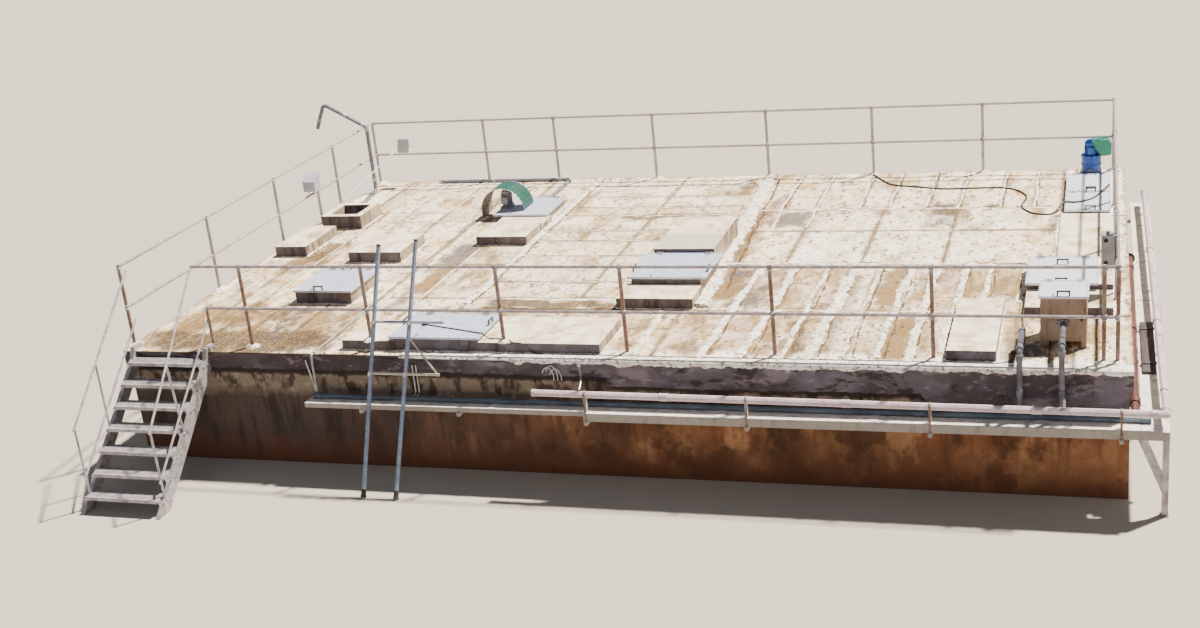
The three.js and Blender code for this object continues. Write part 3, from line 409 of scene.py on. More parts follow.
class Finish:
    """A material in the making. Its masks go from 0 to 1, and its colours are hex values or sockets."""

    def __init__(self, name, roughness, metallic=0.0):
        self.material = bpy.data.materials.new(name)
        self.material.use_nodes = True
        self.tree = self.material.node_tree
        self.tree.nodes.clear()
        self.shader = self.node("BsdfPrincipled", {"Roughness": roughness, "Metallic": metallic})
        self.node("OutputMaterial", links={"Surface": self.shader.outputs["BSDF"]})
        where = self.node("TexCoord").outputs["Object"]
        self.layout = self.node("Mapping", {"Location": tuple(-ORIGIN)}, {"Vector": where}).outputs["Vector"]

    def node(self, kind, values=None, links=None, settings=None):
        return add_node(self.tree, "ShaderNode" + kind, settings, values, links)

    def axis(self, vector, name):
        """One coordinate of a vector."""
        return self.node("SeparateXYZ", links={"Vector": vector}).outputs[name]

    def cloud(self, where, size, detail, roughness=0.5, distortion=0.0):
        """Noise whose features are size millimetres across."""
        values = {"Scale": 1000.0 / size, "Detail": detail, "Roughness": roughness, "Distortion": distortion}
        return self.node("TexNoise", values, {"Vector": where}).outputs["Fac"]

    def blotches(self, size, low, high, stretch=(1, 1, 1), detail=6, distortion=0.0):
        """A mask of irregular patches, longer along an axis whose stretch is small."""
        where = self.node("Mapping", {"Scale": stretch}, {"Vector": self.layout}).outputs["Vector"]
        return ranged(self.tree, self.cloud(where, size, detail, 0.6, distortion), low, high)

    def dots(self, size, start, full):
        """A mask of small round spots, one to a cell of size millimetres."""
        cells = self.node("TexVoronoi", {"Scale": 1000.0 / size}, {"Vector": self.layout})
        return ranged(self.tree, cells.outputs["Distance"], start, full)

    def band(self, axis, start, full, ragged=0.0, size=250):
        """A mask that rises from start to full along an axis, with an edge broken by noise."""
        cloud = self.cloud(self.layout, size, 5)
        broken = calculated(self.tree, "MULTIPLY_ADD", cloud, ragged, self.axis(self.layout, axis))
        return ranged(self.tree, broken, start + ragged / 2, full + ragged / 2)

    def facing(self, axis, start, full):
        """A mask of the faces that look along an axis, from the surface's own direction."""
        surface = self.node("NewGeometry").outputs["Normal"]
        return ranged(self.tree, self.axis(surface, axis), start, full)

    def marked(self, name):
        """An attribute that the piece's own mesh carries."""
        return self.node("Attribute", settings={"attribute_name": name}).outputs["Fac"]

    def coats(self, colour, *layers):
        """Colours laid one over another. A layer is a colour, its strength and the masks that hold it."""
        for over, amount, held, *masks in layers:
            for factor in (*masks, amount):
                held = calculated(self.tree, "MULTIPLY", held, factor)
            values, links = {}, {0: held}
            for socket, paint in ((6, colour), (7, over)):
                if isinstance(paint, str):
                    values[socket] = linear(paint)
                else:
                    links[socket] = paint
            colour = self.node("Mix", values, links, {"data_type": "RGBA"}).outputs[2]
        return colour

    def varied(self, mask, socket, low, high):
        """Lets a value of the shader go from low to high with a mask."""
        self.tree.links.new(ranged(self.tree, mask, 0.0, 1.0, low, high), self.shader.inputs[socket])

    def finished(self, colour, grain, depth, strength):
        """The material, with its colour and bump from two sizes of grain, depth metres deep."""
        coarse = self.cloud(self.layout, grain[0], 8, 0.65)
        fine = self.cloud(self.layout, grain[1], 4)
        height = calculated(self.tree, "MULTIPLY_ADD", fine, 0.35, coarse)
        bump = self.node("Bump", {"Strength": strength, "Distance": depth}, {"Height": height})
        self.tree.links.new(colour, self.shader.inputs["Base Color"])
        self.tree.links.new(bump.outputs["Normal"], self.shader.inputs["Normal"])
        return self.material


print("linear cream", [round(value, 3) for value in linear("E8DCC8")])

# %% [markdown]
# The roof is cast concrete under a thin cement screed. Years of sun and slurry have bleached it to
# cream, with ochre and brown washes where water stood and dark dirt along the seams. The stains that
# belong to one place come from attributes of the planks' own mesh, named below, and noise breaks
# their edges. Grain and pores are bump, because they are finer than the mesh.
# %% Weathered cement screed
# The grey wash also holds painted shadow: one of its rectangles, in front of the dosing cabinet, is the
# cabinet's shadow, partly a wet patch.
WASH_COLOURS = {"ochre_wash": ("7C5E2C", 0.9), "brown_wash": ("43341E", 0.9),
                "grey_wash": ("504C54", 0.88), "pale_wash": ("FDFAF5", 0.95)}


def weathered_and_shaded_screed():
    # Cement screed, trowelled and bleached: matt, pale cream, mottled, with fine dark pores.
    skin = Finish("weathered_and_shaded_cement_screed", 0.9)
    colour = skin.coats(
        "FAEFD8",
        ("D9BF93", 1.0, skin.blotches(520, 0.48, 0.60, detail=10)),
        ("FEF9EC", 0.9, skin.blotches(240, 0.50, 0.57, (1, 0.5, 1), 10)),
        ("BFA173", 0.40, skin.marked("plank_tone")),
        ("7A6238", 0.85, skin.blotches(480, 0.53, 0.65, (1, 0.35, 1), 12)),
        ("86704A", 0.85, skin.blotches(160, 0.56, 0.65, (1, 0.45, 1), 12)),
        ("6F686F", 0.8, skin.blotches(360, 0.57, 0.68, (1, 0.4, 1), 12, 0.4)))
    ragged = skin.blotches(210, 0.22, 0.72, (1, 0.6, 1), 11, 0.9)
    for name, (stain, amount) in WASH_COLOURS.items():
        torn = calculated(skin.tree, "MULTIPLY_ADD", skin.marked(name), 1.5, ragged)
        colour = skin.coats(colour, (stain, amount, ranged(skin.tree, torn, 0.90, 1.58)))
    colour = skin.coats(
        colour,
        ("6F5938", 0.9, skin.marked("seam_dirt"), skin.blotches(190, 0.30, 0.55)),
        ("54473A", 0.9, skin.dots(38, 0.24, 0.12), skin.blotches(330, 0.45, 0.53)),
        ("3C2F22", 1.0, skin.dots(130, 0.22, 0.12), skin.blotches(700, 0.42, 0.50)),
        ("7A6242", 0.9, skin.blotches(75, 0.58, 0.63, (1, 0.5, 1), 10)),
        ("4F4133", 0.9, skin.blotches(52, 0.62, 0.66, (1, 0.6, 1), 8)),
        ("B09A78", 0.7, skin.blotches(24, 0.57, 0.66, detail=2)))
    return skin.finished(colour, (70, 9), 0.010, 0.9)


SCREED = weathered_and_shaded_screed()
print("material", SCREED.name, "nodes", len(SCREED.node_tree.nodes))

# %% [markdown]
# The roof slab shows between the planks and at its edge. Its top is dark mortar in the joints. Its
# front face is in shade, and its dark violet grey is a crust of slurry and dirt together with painted
# shade, while the right face, where the sun falls, is painted pale, which is painted light. One
# material does both, told apart by the direction that the surface faces.
# %% Roof slab edge
def slab_edge_concrete():
    # Cast concrete left rough from the boards: grey, with a dark violet grey crust and painted shade on the
    # front face, and painted light on the right face.
    skin = Finish("dirty_and_shaded_slab_edge_concrete", 0.92)
    crust = skin.coats(
        "6D6772",
        ("4A434A", 1.0, skin.blotches(420, 0.42, 0.58, (0.6, 1, 1), 10)),
        ("7F7681", 0.85, skin.blotches(260, 0.55, 0.64, (0.5, 1, 1)), skin.band("X", -7.4, -6.0, 0.6, 400)),
        ("3B2F31", 0.6, skin.band("X", -6.0, -8.0, 0.6, 400)),
        ("362C2E", 0.9, skin.blotches(130, 0.55, 0.62, (0.45, 1, 1), 10)),
        ("8F8590", 0.6, skin.blotches(90, 0.57, 0.66, (0.5, 1, 1), 10)),
        # painted shade: a dark ragged line along the lower edge of the front face, left of X = -5.3, where
        # the slab overhangs the wall
        ("231B1C", 0.95, skin.band("Z", 1.222, 1.202, 0.075, 150), skin.band("X", -5.15, -5.3)),
        ("A89E9F", 0.55, skin.blotches(80, 0.64, 0.73, (0.6, 1, 1)), skin.band("X", -7.4, -5.5, 0.6, 400)))
    pale_side = skin.coats("CDBFA6", ("9B8A72", 1.0, skin.blotches(260, 0.42, 0.62, (1, 1, 0.5))))
    colour = skin.coats(
        "8F7D60",
        ("6B5A44", 1.0, skin.blotches(300, 0.42, 0.60)),
        # painted light and shade: the right face is painted pale where the sun falls, and the front face gets
        # the crust, which carries painted shade as well as dirt
        (pale_side, 1.0, skin.facing("X", 0.3, 0.7)),
        (crust, 1.0, skin.facing("Y", -0.3, -0.7)))
    return skin.finished(colour, (110, 14), 0.014, 0.9)


SLAB_EDGE = slab_edge_concrete()
print("material", SLAB_EDGE.name, "nodes", len(SLAB_EDGE.node_tree.nodes))

# %% [markdown]
# The tank wall is brick under a brown render. Rusty water has run down it from the roof edge, so the
# streaks are long and upright: the noise is stretched along Z by giving it a small Z scale. The foot
# is splashed with red earth and the left end is darker and greyer than the right.
# %% Rendered tank wall
def rendered_wall():
    # Sand and cement render, floated by hand: matt ochre brown, with rust runs and a dirt splash line, and
    # dark lines of painted shade under the slab and the dark band.
    skin = Finish("stained_and_shaded_wall_render", 0.93)
    high = skin.band("Z", 0.10, 0.95, 0.5, 300)
    left_end = skin.band("X", -5.0, -9.0, 1.5, 900)
    under_slab = skin.band("Z", 0.84, 0.98, 0.22, 200)
    streaks = skin.blotches(120, 0.48, 0.62, (1, 1, 0.12))
    colour = skin.coats(
        "9A6D4D",
        ("7C5238", 1.0, skin.blotches(700, 0.42, 0.58, detail=10)),
        ("B78A63", 0.8, skin.blotches(380, 0.53, 0.61, (1, 1, 0.6), 10)),
        ("4E3625", 0.85, skin.blotches(460, 0.54, 0.60, (1, 1, 0.8), 12)),
        ("3F2819", 0.9, streaks, high),
        ("4A3324", 0.8, skin.band("X", -1.9, -3.2, 0.8, 500), skin.blotches(900, 0.40, 0.56)),
        ("33231A", 0.9, skin.blotches(210, 0.57, 0.63, (1, 1, 0.55), 12), high),
        ("7E4526", 0.8, skin.blotches(46, 0.54, 0.64, (1, 1, 0.08), 4), high),
        ("4A4140", 0.9, left_end),
        ("2E2625", 0.8, left_end, streaks),
        ("8C7F71", 0.85, under_slab),
        ("3A302C", 0.9, under_slab, skin.blotches(170, 0.49, 0.57, (1, 1, 0.45), 10)),
        ("A2968A", 0.7, under_slab, skin.blotches(110, 0.57, 0.63, detail=9)),
        # painted shade: a dark ragged strip at the top of the wall, just under the slab's overhang
        ("231C1B", 0.9, skin.band("Z", 1.125, 1.15, 0.08, 130)),
        # painted shade: the wall close to black behind the dark band and just under its ragged foot, right of
        # X = -5.2
        ("1F1819", 0.92, skin.band("Z", 1.01, 1.05, 0.11, 140), skin.band("X", -5.6, -5.2, 0.3)),
        ("6E432C", 0.85, skin.band("Z", 0.40, 0.06, 0.36, 220)),
        ("4E3B2A", 0.6, skin.blotches(26, 0.58, 0.68, detail=3)))
    return skin.finished(colour, (160, 12), 0.012, 0.8)


WALL_RENDER = rendered_wall()
print("material", WALL_RENDER.name, "nodes", len(WALL_RENDER.node_tree.nodes))

# %% [markdown]
# Curbs, plinths and raised slabs are small castings on the roof. Their tops are bleached like the
# roof and their sides are darker, because rain washes dirt down them. The faces that look to the
# front are greyer and darker still, which is painted shade. The mask is again the surface's own
# direction. The mortar of the ridges and the collars is the same family, lighter and rougher.
# %% Curb concrete and mortar
def curb_concrete():
    # Concrete cast in small wooden forms: pale worn top, brown-grey sides with runs of dirt, and painted
    # shade on the faces that look to the front.
    skin = Finish("curb_concrete", 0.92)
    front = skin.facing("Y", -0.3, -0.7)
    side = skin.coats(
        "B5A893",
        ("8B7C6B", 1.0, skin.blotches(150, 0.42, 0.60, (1, 1, 0.35))),
        # painted shade: grey and darker on the faces that look to the front
        ("56525C", 0.95, front),
        ("706D79", 0.7, front, skin.blotches(210, 0.50, 0.60)),
        ("3A3334", 0.85, skin.blotches(90, 0.52, 0.64, (1, 1, 0.25))))
    worn = skin.coats(
        "EFE7D8",
        ("D3C3A7", 1.0, skin.blotches(260, 0.44, 0.60)),
        ("A58A60", 0.7, skin.blotches(340, 0.56, 0.65, detail=9)),
        ("7C6A52", 0.7, skin.blotches(120, 0.60, 0.68, detail=8)),
        ("B3AFAC", 0.85, skin.band("Y", 2.80, 2.86), skin.band("Y", 3.55, 3.38, 0.12, 120),
         skin.band("X", -5.62, -5.58), skin.band("X", -4.60, -4.66)))
    colour = skin.coats(
        side,
        (worn, 1.0, skin.facing("Z", 0.4, 0.8)),
        ("8B7B66", 0.55, skin.blotches(20, 0.60, 0.70, detail=2)))
    return skin.finished(colour, (60, 8), 0.006, 0.9)


def rough_mortar(name, light, dark, crust):
    # Mortar thrown on and left: gritty, almost white where it is clean, dirty in the hollows.
    skin = Finish(name, 0.95)
    colour = skin.coats(
        light,
        (dark, 1.0, skin.blotches(130, 0.44, 0.62)),
        (crust, 0.9, skin.blotches(42, 0.54, 0.62, detail=9)))
    return skin.finished(colour, (38, 7), 0.010, 1.0)


CURB = curb_concrete()
MORTAR = rough_mortar("joint_mortar", "FDFAF4", "CFC3B2", "5E5248")
LIP_MORTAR = rough_mortar("edge_lip_mortar", "FCFAF7", "D6D1CF", "6C6468")
SEAM_DIRT = rough_mortar("dark_seam_crust", "6A573C", "4E3D29", "33281C")
print("materials", CURB.name, MORTAR.name, LIP_MORTAR.name, SEAM_DIRT.name)

# %% [markdown]
# The steelwork was galvanised, so it is a dull lilac grey with a faint spangle, and rust shows at the
# welds and on the thin front posts, where the zinc has gone. Rust is a brown coat laid over the metal
# by a mask that also makes it rough and no longer metallic. The rails behind are painted paler than
# those in front, which is painted light.
# %% Galvanised steel
MIDDLE_RAIL = 1.882


def front_post_rust(skin):
    """A mask of the rust on the front posts, which stops below the top rail and at the middle one."""
    beside = calculated(skin.tree, "SUBTRACT", skin.axis(skin.layout, "Z"), MIDDLE_RAIL)
    clear = ranged(skin.tree, calculated(skin.tree, "ABSOLUTE", beside), 0.018, 0.05)
    return skin.coats("000000", (
        "FFFFFF", 1.0, skin.band("Y", 0.06, 0.02), skin.band("Z", 2.375, 2.30), clear,
        skin.blotches(160, 0.30, 0.56, (1, 1, 0.3))))


def galvanised_steel(name, bright, dull, rust_amount, rough=0.48, metal=0.35, rails=False):
    # Hot-dip galvanised steel that has stood outside: matt zinc grey, blotched, rust where it wore off.
    skin = Finish(name, rough, metal)
    rust = calculated(skin.tree, "MULTIPLY", skin.blotches(110, 0.52, 0.66, (1, 1, 0.6)), rust_amount)
    if rails:
        rust = calculated(skin.tree, "MAXIMUM", rust, front_post_rust(skin))
    rusty = skin.coats("8F7060", ("6B4F43", 1.0, skin.blotches(30, 0.42, 0.60)))
    colour = skin.coats(
        bright,
        (dull, 1.0, skin.blotches(90, 0.40, 0.62)),
        ("8D8A93", 0.30, skin.blotches(24, 0.55, 0.66, detail=3)),
        (rusty, 1.0, rust))
    # painted light: the rails behind are painted paler than those in front
    if rails:
        colour = skin.coats(colour, ("CDCACB", 0.35, skin.band("Y", 0.5, 2.6)))
    skin.varied(rust, "Metallic", metal, 0.0)
    skin.varied(rust, "Roughness", rough, 0.85)
    return skin.finished(colour, (28, 5), 0.0012, 0.5)


RAIL_ZINC = galvanised_steel("galvanised_rail_tube", "A8A2AA", "817B83", 0.55, rails=True)
STAIR_ZINC = galvanised_steel("galvanised_stair_steel", "B9B7BD", "929097", 0.5)
STAY_STEEL = galvanised_steel("pale_stay_bar", "CFC8C0", "A9A199", 0.4, rough=0.55, metal=0.1)
LADDER_STEEL = galvanised_steel("blue_grey_ladder_steel", "94A3BF", "7788A8", 0.3, rough=0.45)
MAST_STEEL = galvanised_steel("blue_grey_mast_tube", "767E90", "5D6474", 0.2, rough=0.5, metal=0.15)
LID_ZINC = galvanised_steel("galvanised_lid_sheet", "C6D1EE", "B2BEDA", 0.05, 0.40, 0.10)
PALE_LID_ZINC = galvanised_steel("bright_galvanised_lid_sheet", "DFE4F2", "CDD5E6", 0.05, 0.40, 0.10)
HANDLE_STEEL = galvanised_steel("dark_handle_bar", "4B4B52", "38373D", 0.5, rough=0.5, metal=0.3)
BOLT_ZINC = galvanised_steel("zinc_plated_fastener", "C2C3C8", "9B9CA2", 0.4, rough=0.38, metal=0.6)
print("steels", RAIL_ZINC.name, STAIR_ZINC.name, LADDER_STEEL.name, LID_ZINC.name, BOLT_ZINC.name)

# %% [markdown]
# Some sheet steel is painted: the cable trunking, the rain cover over the mixer, the blower, the
# dosing cabinet and the control boxes. The coat is even, chalks in patches and carries runs of dirt.
# On the trunking the faces that look to the front are also darkened in the dirt colour, which is
# painted shade.
# %% Painted sheet steel
def painted_metal(name, coat, chalk, grime_and_shade, rough, dirt, front=0.0):
    # Sheet steel under a sprayed coat: even colour, chalked in patches, with dirt in runs, and painted shade
    # on the front faces as strong as front.
    skin = Finish(name, rough)
    runs = skin.blotches(70, 0.53, 0.68, (1, 1, 0.3), 5)
    colour = skin.coats(
        coat,
        (chalk, 1.0, skin.blotches(180, 0.42, 0.64)),
        (grime_and_shade, dirt, runs),
        # painted shade: the faces that look to the front are darkened, as strongly as front says
        (grime_and_shade, front, skin.facing("Y", -0.3, -0.7)),
        (grime_and_shade, dirt, skin.blotches(15, 0.62, 0.70, detail=2)))
    skin.varied(runs, "Roughness", rough, min(1.0, rough + 0.3))
    return skin.finished(colour, (45, 6), 0.0010, 0.4)


# front=0.8 paints shade onto the faces of the trunking that look to the front
TRUNKING_PAINT = painted_metal("off_white_trunking_paint", "F0EDEA", "D2CFCE", "786E69", 0.40, 0.5, front=0.8)
COVER_PAINT = painted_metal("teal_profiled_sheet", "0A4A42", "17584F", "143C36", 0.42, 0.45)
COVER_INSIDE = painted_metal("grey_primer_sheet", "8D8A88", "6E6A68", "4B4542", 0.7, 0.6)
MACHINE_BLUE = painted_metal("blue_machine_enamel", "1459B8", "1C66C6", "173F78", 0.3, 0.4)
HOOD_GREEN = painted_metal("green_hood_enamel", "1E8B70", "38A186", "17604E", 0.35, 0.35)
CASING_BEIGE = painted_metal("brown_beige_casing_paint", "8C7868", "7B6757", "5F4C3C", 0.5, 0.6)
CASING_GREY = painted_metal("grey_control_box_paint", "8A8C98", "9C9EAA", "6B6764", 0.45, 0.4)
BOX_GREY = painted_metal("pale_junction_box_paint", "A6ABBC", "B8BCCA", "8F8C8A", 0.45, 0.3)
PANEL_BROWN = painted_metal("dark_brown_painted_board", "40363A", "322A2E", "5C5052", 0.6, 0.5)
print("paints", TRUNKING_PAINT.name, COVER_PAINT.name, MACHINE_BLUE.name, CASING_BEIGE.name)

# %% [markdown]
# The pipes are plastic. Grey PVC is extruded, so it is smooth with a slight sheen, and it chalks in
# the sun. The long pale pipe has a lilac white skin, the thick one on the right wall is red-brown,
# and the hose is black polyethylene. They share one recipe with different colours.
# %% Extruded plastics
def extruded_plastic(name, fresh, chalked, dust, rough=0.42, dirt=0.4):
    # Extruded PVC or polyethylene: smooth, slightly glossy, sun-chalked on top and dusty.
    skin = Finish(name, rough)
    skin.shader.inputs["IOR"].default_value = 1.53
    colour = skin.coats(
        fresh,
        (chalked, 1.0, skin.blotches(140, 0.40, 0.62, (0.5, 0.5, 1))),
        (dust, dirt, skin.blotches(42, 0.54, 0.68)))
    skin.varied(skin.blotches(60, 0.40, 0.65), "Roughness", rough, rough + 0.25)
    return skin.finished(colour, (30, 4), 0.0006, 0.35)


GREY_PVC = extruded_plastic("blue_grey_pvc_pipe", "414F60", "58687A", "77736D")
OUTLET_PVC = extruded_plastic("silver_grey_outlet_pvc", "4C4D59", "70727E", "4A464F", 0.34, 0.5)
PALE_PVC = extruded_plastic("lilac_white_pvc_pipe", "BCABB9", "D0C2CD", "8A7873", 0.34, 0.55)
RED_PVC = extruded_plastic("red_brown_pvc_pipe", "4B2423", "572D29", "50302A", 0.42, 0.6)
BLACK_HOSE = extruded_plastic("black_polyethylene_hose", "232124", "3A3638", "6B6056", 0.36, 0.35)
BLACK_RUBBER = extruded_plastic("black_rubber_sheath", "2B2725", "403A37", "75685A", 0.6, 0.35)
WHITE_CABLE = extruded_plastic("white_cable_sheath", "E2DEDA", "CBC6C2", "8F867C", 0.5, 0.4)
LAMP_GLASS = extruded_plastic("frosted_lamp_glass", "C9CED4", "B4BAC2", "8E8A84", 0.25, 0.3)
# near-black painted shade: a lining for the shaded insides of openings
DARK_INSIDE = extruded_plastic("painted_shade_dark_lining", "17151A", "242127", "38322F", 0.8, 0.4)
for cord, sheath in ((hose, BLACK_HOSE), (cable, BLACK_RUBBER)):
    cord.data.materials.append(sheath)
print("plastics", GREY_PVC.name, PALE_PVC.name, RED_PVC.name, BLACK_HOSE.name)

# %% [markdown]
# The CAD nodes keep their own meshes. Each gets the finish of what it is by name, on the material
# slots that it came with.
# %% Finishes of the CAD nodes
NODE_FINISHES = (
    (WALL_RENDER, ("front_wall", "back_wall", "left_wall", "right_wall", "tank_floor")),
    (SLAB_EDGE, ("roof_left", "roof_right")),
    (CURB, ("pit_curb", "left_hatch_curb", "raised_slab", "edge_slab", "mixer_plinth", "middle_platform",
            "front_platform", "back_hatch_curb", "right_platform", "corner_slab")),
    (RAIL_ZINC, ("front_railing", "back_railing", "left_railing", "right_railing")),
    (STAIR_ZINC, ("stair_right_side", "stair_left_side", *[f"stair_tread_{i}" for i in range(1, 8)],
                  "trunking_leg", "roof_conduit")),
    (LADDER_STEEL, ("leaning_ladder",)),
    (LID_ZINC, ("left_hatch_lid", "mixer_lid", "middle_lid", "front_lid")),
    (PALE_LID_ZINC, ("back_hatch_lid_1", "back_hatch_lid_2", "right_lid", "dosing_cabinet_lid",
                     "floodlight")),
    (TRUNKING_PAINT, ("front_trunking", "side_trunking")),
    (MACHINE_BLUE, ("blower",)),
    (COVER_PAINT, ("rain_cover",)),
    (GREY_PVC, ("grey_front_pipe",)),
    (OUTLET_PVC, ("outlet_pipe_1", "outlet_pipe_2")),
    (PALE_PVC, ("front_pipe", "side_pipe")),
    (RED_PVC, ("red_pipe",)),
    (CASING_BEIGE, ("dosing_cabinet",)),
    (CASING_GREY, ("control_box", "mixer_motor")),
    (BOX_GREY, ("junction_box",)),
    (MAST_STEEL, ("vent_riser", "roof_edge_pipe")),
)
for finish, names in NODE_FINISHES:
    for node_name in names:
        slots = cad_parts[node_name].data.materials
        for index in range(len(slots)):
            slots[index] = finish
        if not slots:
            slots.append(finish)
print("finished nodes", sum(len(names) for _, names in NODE_FINISHES), "of", len(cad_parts))

# %% [markdown]
# The roof was laid as long narrow strips of screed, so it shows as planks with seams between them.
# One could draw the seams in the material. Real planks are better, because each strip has its own
# tone, worn edges and a seam that is open in places. Each plank is a thin closed slab with a fine
# grid on top, 2 to 3 mm above the CAD roof, and the seams are the gaps that are left. The grid also
# carries the stains and one painted shadow: every wash is a rectangle where water stood, apart from
# one grey rectangle in front of the dosing cabinet, which is the cabinet's shadow painted on the
# roof, and noise moves each edge. The seeds are fixed, so every run lays the same planks and stains.
# %% Screed planks
PLANK_CELL = 0.055
SEAM = 0.014
PIT_HOLE = (-11.13, -10.47, 4.61, 5.31)
LEFT_COLUMNS = (ROOF_LEFT, -10.73, -10.42, -10.0, -9.4, -8.8)
MIDDLE_ROWS = (ROOF_FRONT, 0.75, 1.33, 1.7, 2.3, 3.33, 3.97, 4.43, 5.13, 5.53, 6.07, 6.63, ROOF_BACK)
FRONT_COLUMNS = (-4.78, -4.2, -3.75, -3.33, -3.03, -2.7, -2.35, -2.05, -1.7, -1.4, -1.0, -0.65)
BACK_COLUMNS = (-4.78, -4.37, -3.9, -3.3, -2.9, -2.4, -1.97, -1.43, -1.0, -0.65)
PLANK_REGIONS = (
    (LEFT_COLUMNS, (ROOF_FRONT, 4.93, 5.4, ROOF_BACK)),
    ((-8.8, -8.25, -7.57), (ROOF_FRONT, 1.7, 3.0, 5.2, ROOF_BACK)),
    ((-7.57, -6.15, -4.78), MIDDLE_ROWS),
    (FRONT_COLUMNS, (ROOF_FRONT, 1.37, 3.0)),
    ((-4.78, -3.88, -2.95, -1.97, -0.65), (3.0, 4.35, 5.3)),
    (BACK_COLUMNS, (5.3, 6.3, ROOF_BACK)),
    ((-0.65, -0.48, -0.19, ROOF_RIGHT), (ROOF_FRONT, 1.3, 2.9, 4.93, ROOF_BACK)),
)
WASHES = {
    "ochre_wash": (
        (-9.46, -9.18, -0.1, 1.35, 0.95), (-10.2, -9.92, 0.1, 1.4, 0.75), (-9.12, -8.85, 0.0, 1.1, 0.6),
        (-10.95, -10.5, 0.6, 1.4, 0.45), (-8.62, -8.2, 1.7, 2.97, 1.0), (-8.30, -8.12, 3.5, 3.95, 1.0),
        (-4.62, -4.22, 1.7, 2.85, 0.85), (-3.92, -3.42, -0.1, 2.8, 0.6), (-2.64, -2.37, 1.5, 2.8, 1.0),
        (-2.42, -2.06, -0.1, 1.3, 1.0), (-5.35, -4.95, -0.1, 1.2, 0.55), (-4.6, -4.25, -0.1, 1.3, 0.6),
        (-6.05, -5.7, 3.95, 4.5, 0.65), (-5.2, -4.95, 5.95, 6.8, 0.9), (-0.44, -0.20, 0.40, 1.05, 0.8),
        (-1.35, -1.02, 1.8, 2.75, 0.65), (-10.7, -10.3, 2.85, 3.95, 0.8), (-7.95, -7.62, 1.9, 2.8, 0.5),
        (-4.75, -4.4, 3.0, 5.4, 0.75), (-3.95, -3.6, 4.3, 5.1, 0.6), (-8.1, -7.65, 0.0, 1.3, 0.35),
        (-7.3, -6.1, 4.0, 4.4, 0.35), (-3.0, -2.75, 5.4, 7.0, 0.3), (-7.3, -5.9, 2.4, 3.2, 0.22),
        (-11.2, -8.7, -0.1, 1.45, 0.62), (-4.78, -0.7, -0.1, 2.95, 0.42), (-8.2, -5.0, 0.7, 1.4, 0.45),
        (-11.3, -10.4, 1.4, 3.2, 0.35), (-9.1, -8.3, 2.3, 3.1, 0.4),
    ),
    "brown_wash": (
        (-10.0, -9.48, -0.1, 1.35, 0.5), (-7.3, -5.65, 1.34, 1.68, 0.95), (-6.6, -5.68, 5.0, 5.2, 1.0),
        (-2.39, -1.96, 4.45, 5.55, 0.9), (-1.62, -1.43, 5.12, 5.42, 0.9), (-1.42, -1.02, 4.72, 5.02, 0.65),
        (-3.47, -3.12, -0.1, 1.2, 0.6), (-10.66, -10.34, 2.95, 3.9, 0.6), (-9.3, -9.0, 3.2, 3.6, 0.5),
        (-4.72, -4.55, 3.2, 5.3, 0.6), (-0.85, -0.66, 4.15, 4.95, 0.9), (-9.9, -8.9, -0.15, 0.05, 0.5),
        (-11.3, -8.7, -0.2, 0.50, 0.8), (-10.9, -10.1, 0.3, 1.3, 0.35), (-9.0, -8.5, 0.2, 1.0, 0.35),
    ),
    "grey_wash": (
        (-8.62, -8.2, 2.95, 3.87, 0.9), (-4.34, -3.9, 4.5, 5.22, 1.0), (-4.55, -4.25, 2.35, 2.75, 0.8),
        (-3.12, -2.88, 1.35, 2.95, 0.7), (-3.4, -3.08, 3.8, 4.3, 0.65), (-4.27, -3.88, 1.45, 2.2, 0.7),
        (-9.85, -9.52, 0.1, 1.35, 0.5), (-3.1, -2.8, -0.1, 1.3, 0.5), (-5.7, -5.0, 6.1, 6.6, 0.3),
        (-7.4, -6.3, 6.1, 6.6, 0.35), (-3.6, -3.3, 5.1, 5.6, 0.4), (-4.55, -3.95, 2.1, 2.95, 0.35),
        # Painted shadow: the first rectangle on the next line is the dosing cabinet's shadow on the roof,
        # partly a wet patch.
        (-1.15, -0.62, -0.1, 0.75, 0.6), (-8.1, -7.6, 3.0, 3.7, 0.35), (-6.9, -6.0, 2.5, 2.9, 0.3),
    ),
    "pale_wash": (
        (-7.1, 0.15, -0.21, 0.06, 0.9), (-3.9, -1.0, 3.0, 5.1, 0.45), (-0.65, 0.15, 2.9, 7.1, 0.6),
        (-7.5, -5.8, 5.55, 7.0, 0.35), (-1.9, -1.1, 0.0, 1.6, 0.4), (-2.9, -2.65, 0.0, 2.9, 0.6),
        (-10.0, -9.5, 3.9, 5.0, 0.4), (-7.5, -5.9, 1.75, 3.3, 0.35), (-5.8, -4.95, 3.6, 6.0, 0.3),
    ),
}


def without_hole(x0, x1, y0, y1, hole):
    """A rectangle as the rectangles that are left once a hole is taken out of it."""
    hx0, hx1, hy0, hy1 = hole
    if x1 <= hx0 or x0 >= hx1 or y1 <= hy0 or y0 >= hy1:
        return [(x0, x1, y0, y1)]
    beside = (max(y0, hy0), min(y1, hy1))
    left = [(x0, x1, y0, min(y1, hy0)), (x0, x1, max(y0, hy1), y1),
            (x0, min(x1, hx0), *beside), (max(x0, hx1), x1, *beside)]
    return [r for r in left if r[1] - r[0] > 0.03 and r[3] - r[2] > 0.03]


def wash_at(x, y, patches):
    """How strong a wash is at a point, from its rectangles and a wandering edge."""
    drift = noise.noise_vector((x * 3.1, y * 1.9, 3.7))
    px, py = x + 0.09 * drift.x, y + 0.22 * drift.y
    found = 0.0
    for x0, x1, y0, y1, strength in patches:
        inside = min(px - x0, x1 - px, py - y0, y1 - py)
        found = max(found, strength * min(1.0, max(0.0, 0.45 + inside / 0.26)))
    return found


